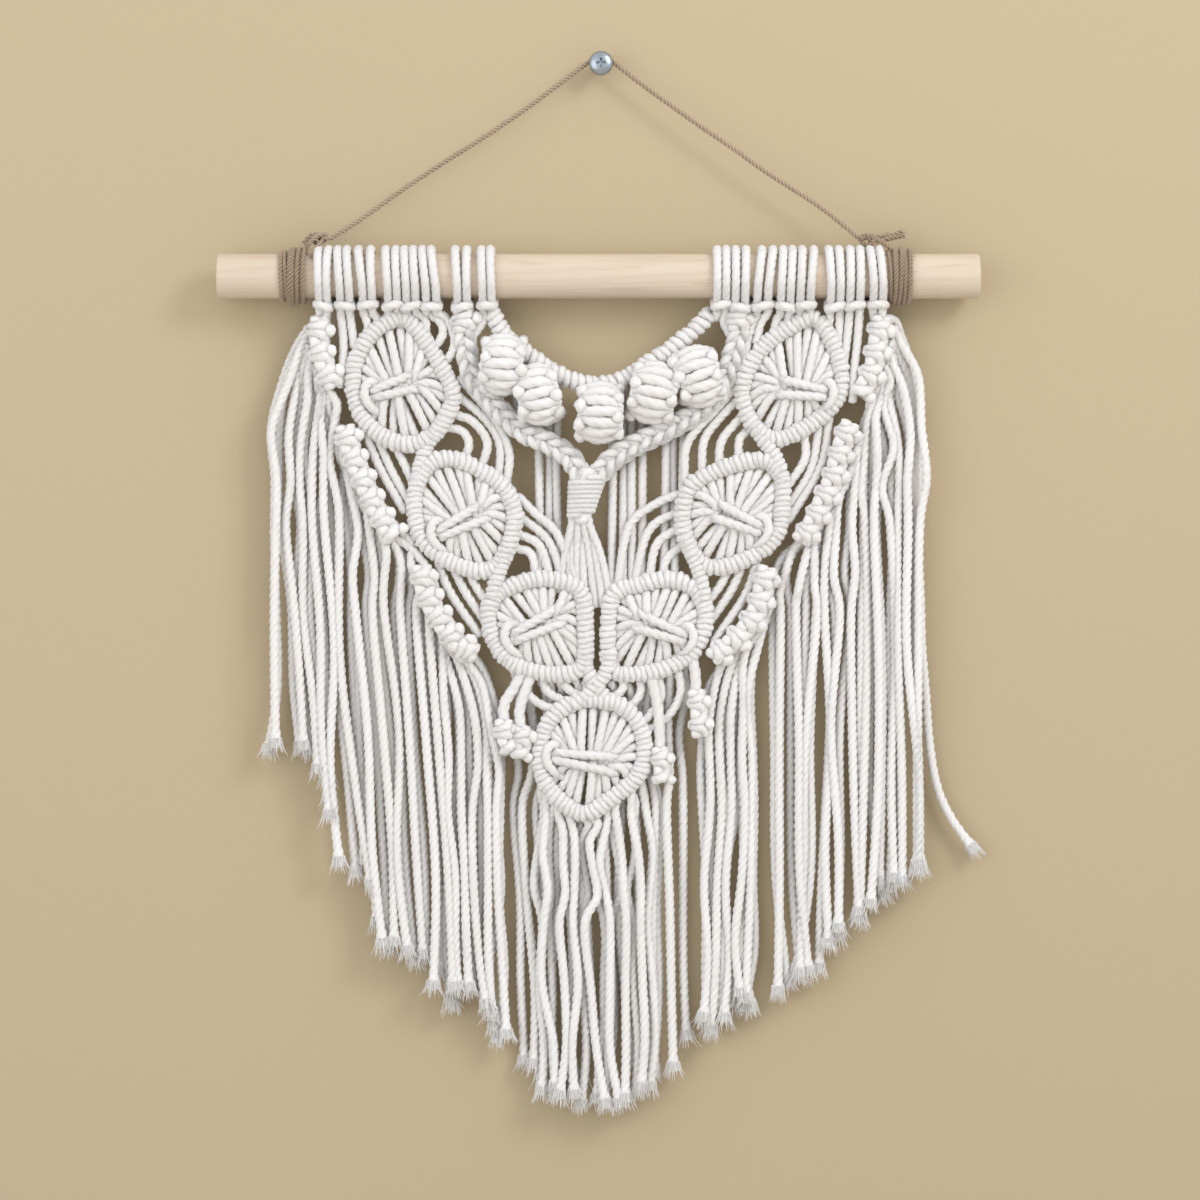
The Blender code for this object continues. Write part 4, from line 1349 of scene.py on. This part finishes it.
SINNETS = {
    "sinnet_left_1": ((-112.2, -102.6), (-112.4, -112.0), (-110.4, -120.4), (-106.4, -129.5)),
    "sinnet_left_2": ((-102.2, -146.0), (-99.6, -155.2), (-96.4, -163.6), (-92.4, -172.8), (-88.0, -181.6),
                      (-82.4, -189.4)),
    "sinnet_left_3": ((-71.8, -202.0), (-70.0, -210.6), (-66.4, -219.2), (-61.6, -226.4), (-57.2, -232.4),
                      (-50.2, -236.6)),
    "sinnet_right_1": ((112.4, -102.6), (110.8, -112.0), (108.8, -123.0), (104.0, -133.0)),
    "sinnet_right_2": ((99.8, -144.8), (95.8, -156.4), (92.6, -168.0), (88.0, -178.0), (83.6, -186.4),
                       (80.0, -191.6)),
    "sinnet_right_3": ((66.8, -202.6), (64.8, -211.6), (62.0, -220.4), (57.2, -227.8), (51.6, -233.0),
                       (44.6, -238.4)),
}
SINNET_CORD_D = 4.2
SINNET_HALF = 3.4
HALF_KNOT = 4.4
# The loose cord comes out of the first knot of the outer right chain.
LOOSE_LEAD = ((112.0, -14.5, -103.0), (115.4, -13.0, -102.6), (118.4, -8.6, -103.8), (120.3, -5.0, -108.4))
for seed, (node, route) in enumerate(SINNETS.items()):
    hank = Hank(node, seed=250 + seed)
    line = smooth_line(flat_route(route, RIM_Y), 0.8)
    lay_square_knots(hank, line, round(length_of(line) / HALF_KNOT), SINNET_HALF, SINNET_CORD_D)
    if node == "sinnet_right_1":
        hank.lay(smooth_line(LOOSE_LEAD))
    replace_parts(hank.made(cotton), node)

# %% [markdown]
# ## Top knots and low knots
# One square knot beside the neckline on each side starts a braid. Four small chains hang beside the bottom
# leaf, each on a short cord that comes from under the leaves above.

# %% Top knots and low knots
TOP_KNOTS = {
    "top_knot_left": (((-55.0, -98.6), (-54.4, -102.0), (-53.8, -107.4)),),
    "top_knot_right": (((55.4, -98.6), (55.2, -102.0), (55.4, -107.0)),),
}
LOW_KNOTS = {
    "low_knot_left": (((-38.8, -263.6), (-38.2, -269.0), (-35.8, -274.8)),
                      ((-31.8, -266.4), (-31.0, -271.4), (-32.4, -277.6))),
    "low_knot_right": (((38.2, -251.6), (39.2, -259.0), (39.8, -269.4)),
                       ((23.6, -274.6), (24.4, -280.4), (24.6, -287.4))),
}
LOW_CORDS = {
    "low_knot_left": (((-30.5, -242.0), (-34.6, -250.0), (-38.6, -256.8), (-38.8, -265.0)),
                      ((-27.0, -243.0), (-30.6, -252.0), (-32.6, -260.0), (-31.8, -267.6))),
    "low_knot_right": (((36.0, -237.0), (37.6, -244.0), (38.0, -253.0)),
                       ((20.0, -245.0), (22.4, -256.0), (23.4, -266.0), (23.6, -275.6))),
}
TOP_SIZE = (3.8, 4.1)
LOW_SIZE = (2.9, 3.7)
LOW_CORD_D = 4.2
for seed, (node, chains) in enumerate({**TOP_KNOTS, **LOW_KNOTS}.items()):
    hank = Hank(node, seed=260 + seed)
    wide, thick = TOP_SIZE if node in TOP_KNOTS else LOW_SIZE
    for chain in chains:
        line = smooth_line(flat_route(chain, RIM_Y), 0.8)
        lay_square_knots(hank, line, max(2, round(length_of(line) / HALF_KNOT)), wide, thick)
    for route in LOW_CORDS.get(node, ()):
        hank.lay(smooth_line(flat_route(route, RIM_Y)), LOW_CORD_D)
    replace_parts(hank.made(cotton), node)

# %% [markdown]
# ## Berry knots
# Five berries sit under the neckline. Each is four square knots rolled forward into a ball and pushed through
# above themselves, so the chain runs over the top, down the front and back under.

# %% Berries
BERRY_CENTRES = ((-39.2, -121.2), (-25.2, -133.0), (-0.4, -140.2), (21.0, -132.4), (39.0, -126.0))
BERRY_Y = -15.6
BERRY_RADIUS = 6.0
BERRY_TALL = 1.1
# How far the rolled chain reaches round from the front, up and down, in radians.
BERRY_ROLL = 1.95
BERRY_HALVES = 9
BERRY_HALF = 7.0
BERRY_CORD_D = 4.4
for k, (x, z) in enumerate(BERRY_CENTRES):
    hank = Hank(f"berry_knot_{k + 1}", seed=270 + k)
    tilt = hank.chance.uniform(-0.8, 0.8)
    turn = np.linspace(-BERRY_ROLL, BERRY_ROLL, 40)
    depth = BERRY_Y - BERRY_RADIUS * np.cos(turn)
    fall = BERRY_RADIUS * BERRY_TALL * np.sin(turn)
    arc = np.stack([x + np.sin(turn) * 3 * tilt, depth, z - fall], axis=1)
    lay_square_knots(hank, arc, BERRY_HALVES, BERRY_HALF, BERRY_CORD_D, resting=3, cluster=0.0)
    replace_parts(hank.made(cotton), f"berry_{k + 1}")

# %% [markdown]
# ## Braids
# From each top knot a flat braid of three doubled strands runs to the middle. There both are bound by a
# gathering wrap, a cord wound tightly round them all, and leave it as a fan.

# %% Braids
BRAIDS = {
    "braid_left": ((-55.0, -106.4), (-54.0, -113.6), (-51.2, -125.6), (-43.2, -136.4), (-32.0, -147.2),
                   (-20.8, -152.6), (-12.8, -157.8), (-7.6, -166.0)),
    "braid_right": ((56.6, -106.0), (53.6, -115.0), (48.2, -129.0), (39.6, -139.2), (25.6, -147.4),
                    (13.6, -153.2), (4.0, -159.4), (-2.6, -167.0)),
}
BRAID_PERIOD = 17.0
BRAID_HALF = 2.9
BRAID_DEPTH = 1.25
BRAID_CORD_D = 3.3


def lay_braid(hank, line):
    """Three strands that pass over each other by turns, each of two cords side by side."""
    ahead = directions(line)
    out = np.cross(ahead, (0.0, 1.0, 0.0))
    along = distances(line)
    for strand in range(3):
        phase = math.tau * (along / BRAID_PERIOD + strand / 3)
        sideways = BRAID_HALF * np.sin(phase)
        depth = -BRAID_DEPTH * np.sin(2 * phase)
        # the two cords lie side by side where the strand is at the middle, and turn over at its edges
        for pair in (-0.5, 0.5):
            shift = pair * 2.1 * np.cos(phase) ** 2 + pair * 0.7
            place = line + out * (sideways + shift * 0.6)[:, None] + ahead * (shift * 0.9)[:, None]
            place[:, 1] += depth + pair * 0.5
            hank.lay(even_steps(place, 1.0), BRAID_CORD_D)


for seed, (node, route) in enumerate(BRAIDS.items()):
    hank = Hank(node, seed=280 + seed)
    lay_braid(hank, smooth_line(flat_route(route, RIM_Y), 0.5))
    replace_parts(hank.made(cotton), node)

# %% [markdown]
# ## Gathering wrap and fan
# The wrap is one cord wound eight times round both braids, over a bundle that tapers downwards. The bundle's
# cords leave it below as a fan and pass behind the rims of the two inner leaves.

# %% Gathering wrap and fan
WRAP_TOP = (-5.4, -166.4, 6.6)
WRAP_FOOT = (-8.2, -181.2, 4.4)
WRAP_TURNS = 8.0
WRAP_FLAT = 0.62
WRAP_SLOPE = 0.54
WRAP_CORD_D = 2.5
BUNDLE_D = 6.6
FAN_FEET = ((-17.0, -212.0), (-13.4, -213.0), (-10.0, -214.0), (-6.6, -217.0), (-2.4, -218.0), (1.0, -218.0),
            (4.2, -217.0))

wrap = Hank("gathering_wrap", seed=290)
turn = np.linspace(0, WRAP_TURNS * math.tau, int(WRAP_TURNS * 40))
share = turn / turn[-1]
x, z, half = (WRAP_TOP[k] + (WRAP_FOOT[k] - WRAP_TOP[k]) * share for k in range(3))
depth = RIM_Y - half * WRAP_FLAT * np.cos(turn)
winding = np.stack([x + half * np.sin(turn), depth, z + WRAP_SLOPE * np.sin(turn)], axis=1)
wrap.lay(even_steps(winding, 0.85), WRAP_CORD_D)
bundle = smooth_line([(WRAP_TOP[0], RIM_Y, -163.0), (-6.8, RIM_Y, -174.0), (WRAP_FOOT[0], RIM_Y, -184.0)])
wrap.lay(bundle, BUNDLE_D, sides=12, crease=0.9)
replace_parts(wrap.made(cotton), "gathering_wrap")

fan = Hank("yoke_fan", seed=291)
for k, (x, z) in enumerate(FAN_FEET):
    lean, behind = (k - 3) / 3, k % 2
    points = [(-8.0 + lean * 2.4, RIM_Y + behind * 1.4, -178.0),
              (-8.2 + lean * 3.4, RIM_Y + behind * 1.6, -185.0),
              ((x - 8.2 + lean * 3.4) / 2, -12.6, -197.0), (x, -12.0, z)]
    fan.lay(smooth_line(points), CORD_D)
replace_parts(fan.made(cotton), "yoke_fan")

# %% [markdown]
# ## Open cords between the knots
# What isn't knotted hangs open: arcs that swing from one leaf to the next, and straight cords behind the
# braids. They lie a little behind the rims, so each route starts and ends inside a rim's hitches.

# %% Web routes
WEBS = {
    "web_left_inner_upper": (
        ((-57.0, -126.0), (-47.2, -137.0), (-40.0, -147.0), (-36.6, -157.6), (-38.0, -169.0)),
        ((-57.4, -133.4), (-47.0, -142.0), (-40.6, -152.4), (-41.0, -166.0)),
        ((-58.6, -141.0), (-51.4, -143.6), (-45.4, -152.4), (-48.4, -163.0)),
        ((-62.0, -146.2), (-55.8, -147.4), (-52.8, -152.4), (-54.6, -159.0))),
    "web_left_inner_lower": (
        ((-33.4, -173.4), (-26.4, -180.4), (-17.2, -189.2), (-8.8, -210.0)),
        ((-32.6, -181.6), (-21.0, -191.6), (-14.8, -208.5)),
        ((-33.4, -188.6), (-24.4, -193.6), (-20.0, -208.0)),
        ((-35.0, -194.4), (-28.0, -196.6), (-26.0, -207.0))),
    "web_left_outer_upper": (
        ((-94.6, -146.5), (-89.2, -161.0), (-78.6, -180.0)),
        ((-89.8, -149.5), (-83.6, -164.0), (-76.8, -176.0)),
        ((-83.0, -152.5), (-78.4, -161.5), (-75.2, -168.5))),
    "web_left_outer_lower": (
        ((-66.5, -196.5), (-60.5, -212.0), (-48.5, -229.5)),
        ((-60.5, -199.5), (-54.4, -212.0), (-46.6, -223.5)),
        ((-53.5, -202.5), (-50.2, -209.5), (-45.0, -217.0))),
    "web_right_inner_upper": (
        ((55.4, -128.4), (45.4, -139.6), (34.6, -152.4), (33.4, -168.0)),
        ((55.0, -134.6), (47.4, -142.6), (41.2, -151.4), (40.4, -165.0)),
        ((56.0, -142.0), (48.2, -151.6), (47.2, -163.0)),
        ((58.6, -147.6), (55.4, -151.0), (55.0, -160.0))),
    "web_right_inner_lower": (
        ((34.6, -171.6), (22.0, -176.6), (10.8, -186.6), (6.4, -212.0)),
        ((33.4, -178.8), (19.4, -187.0), (13.2, -209.0)),
        ((32.8, -185.6), (22.4, -192.6), (19.2, -208.0)),
        ((34.6, -191.8), (26.2, -198.8), (24.8, -207.0))),
    "web_right_outer_upper": (
        ((81.0, -148.0), (81.8, -158.4), (74.4, -170.0)),
        ((87.6, -144.0), (84.0, -163.2), (74.6, -178.0)),
        ((91.6, -140.0), (88.2, -161.2), (74.6, -184.0))),
    "web_right_outer_lower": (
        ((63.0, -196.0), (58.4, -212.0), (45.0, -232.0)),
        ((57.6, -198.6), (52.4, -211.0), (43.6, -224.0)),
        ((51.4, -201.6), (48.0, -209.0), (42.2, -216.5))),
}
CURTAINS = {
    "curtain_left": (
        ((-25.4, -117.0), (-24.8, -150.0), (-24.6, -206.0)),
        ((-21.4, -119.6), (-20.8, -160.0), (-21.2, -206.0)),
        ((-17.8, -122.0), (-17.4, -160.0), (-17.0, -207.0)),
        ((-33.0, -111.6), (-34.2, -130.0), (-33.4, -150.0)),
        ((-29.6, -114.0), (-29.8, -130.0), (-29.0, -150.0))),
    "curtain_right": (
        ((4.8, -128.0), (4.6, -160.0), (4.2, -212.0)), ((8.4, -127.0), (8.6, -160.0), (8.8, -211.0)),
        ((12.4, -125.0), (12.2, -160.0), (12.6, -210.0)), ((16.4, -122.6), (16.6, -160.0), (16.2, -209.0)),
        ((25.2, -116.4), (25.4, -160.0), (25.0, -206.5)), ((29.2, -113.4), (29.0, -160.0), (29.4, -206.5)),
        ((32.8, -110.8), (33.2, -150.0), (32.6, -172.0))),
}
LOW_LOOPS = {
    "leaf_left_3": (
        ((-32.0, -241.0), (-30.0, -252.0), (-22.0, -258.0), (-15.0, -258.5)),
        ((-24.0, -243.0), (-22.0, -251.0), (-17.0, -254.6), (-11.0, -256.5)),
        ((-16.0, -244.0), (-14.0, -250.0), (-9.5, -253.2), (-5.0, -255.0))),
    "leaf_right_3": (
        ((8.0, -244.0), (9.0, -250.0), (5.5, -254.0), (1.0, -256.0)),
        ((15.0, -244.0), (16.0, -252.0), (11.5, -258.0), (8.0, -260.0)),
        ((22.0, -243.0), (24.0, -254.0), (17.0, -264.0), (13.0, -266.0)),
        ((30.0, -240.0), (32.0, -252.0), (26.6, -262.0), (16.0, -269.0))),
}

# %% [markdown]
# ## Laying the open cords
# Neighbouring cords of a web lie at two depths, so that they pass each other as real ones do. The curtains
# start at the neck band, drop behind the berries and the braids, and end behind a leaf.

# %% Webs and curtains
WEB_Y = (-12.6, -12.1)
LOW_LOOP_Y = (-12.8, -12.3)
CURTAIN_Y = (-7.0, -5.8)


def lay_open(hank, routes, depths):
    """Open cords in a plane, by turns at one of two depths."""
    for k, route in enumerate(routes):
        hank.lay(smooth_line(flat_route(route, depths[k % 2])), CORD_D)


for seed, (node, routes) in enumerate(WEBS.items()):
    hank = Hank(node, seed=300 + seed)
    lay_open(hank, routes, WEB_Y)
    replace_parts(hank.made(cotton), node)

for seed, (node, routes) in enumerate(CURTAINS.items()):
    hank = Hank(node, seed=320 + seed)
    for k, route in enumerate(routes):
        (x_top, z_top), (x_next, _), *_, (x_foot, z_foot) = route
        points = flat_route(route, CURTAIN_Y[k % 2])
        points = [(x_top, -12.6, z_top), ((x_top + x_next) / 2, -7.4, z_top - 14), *points[1:-1],
                  (x_foot, -11.0, z_foot)]
        hank.lay(smooth_line(wavy(points, hank.chance, 0.3)), CORD_D)
    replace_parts(hank.made(cotton), node)

for seed, (node, routes) in enumerate(LOW_LOOPS.items()):
    hank = Hank(f"low_loops_{node}", seed=330 + seed)
    lay_open(hank, routes, LOW_LOOP_Y)
    hank.made(cotton)
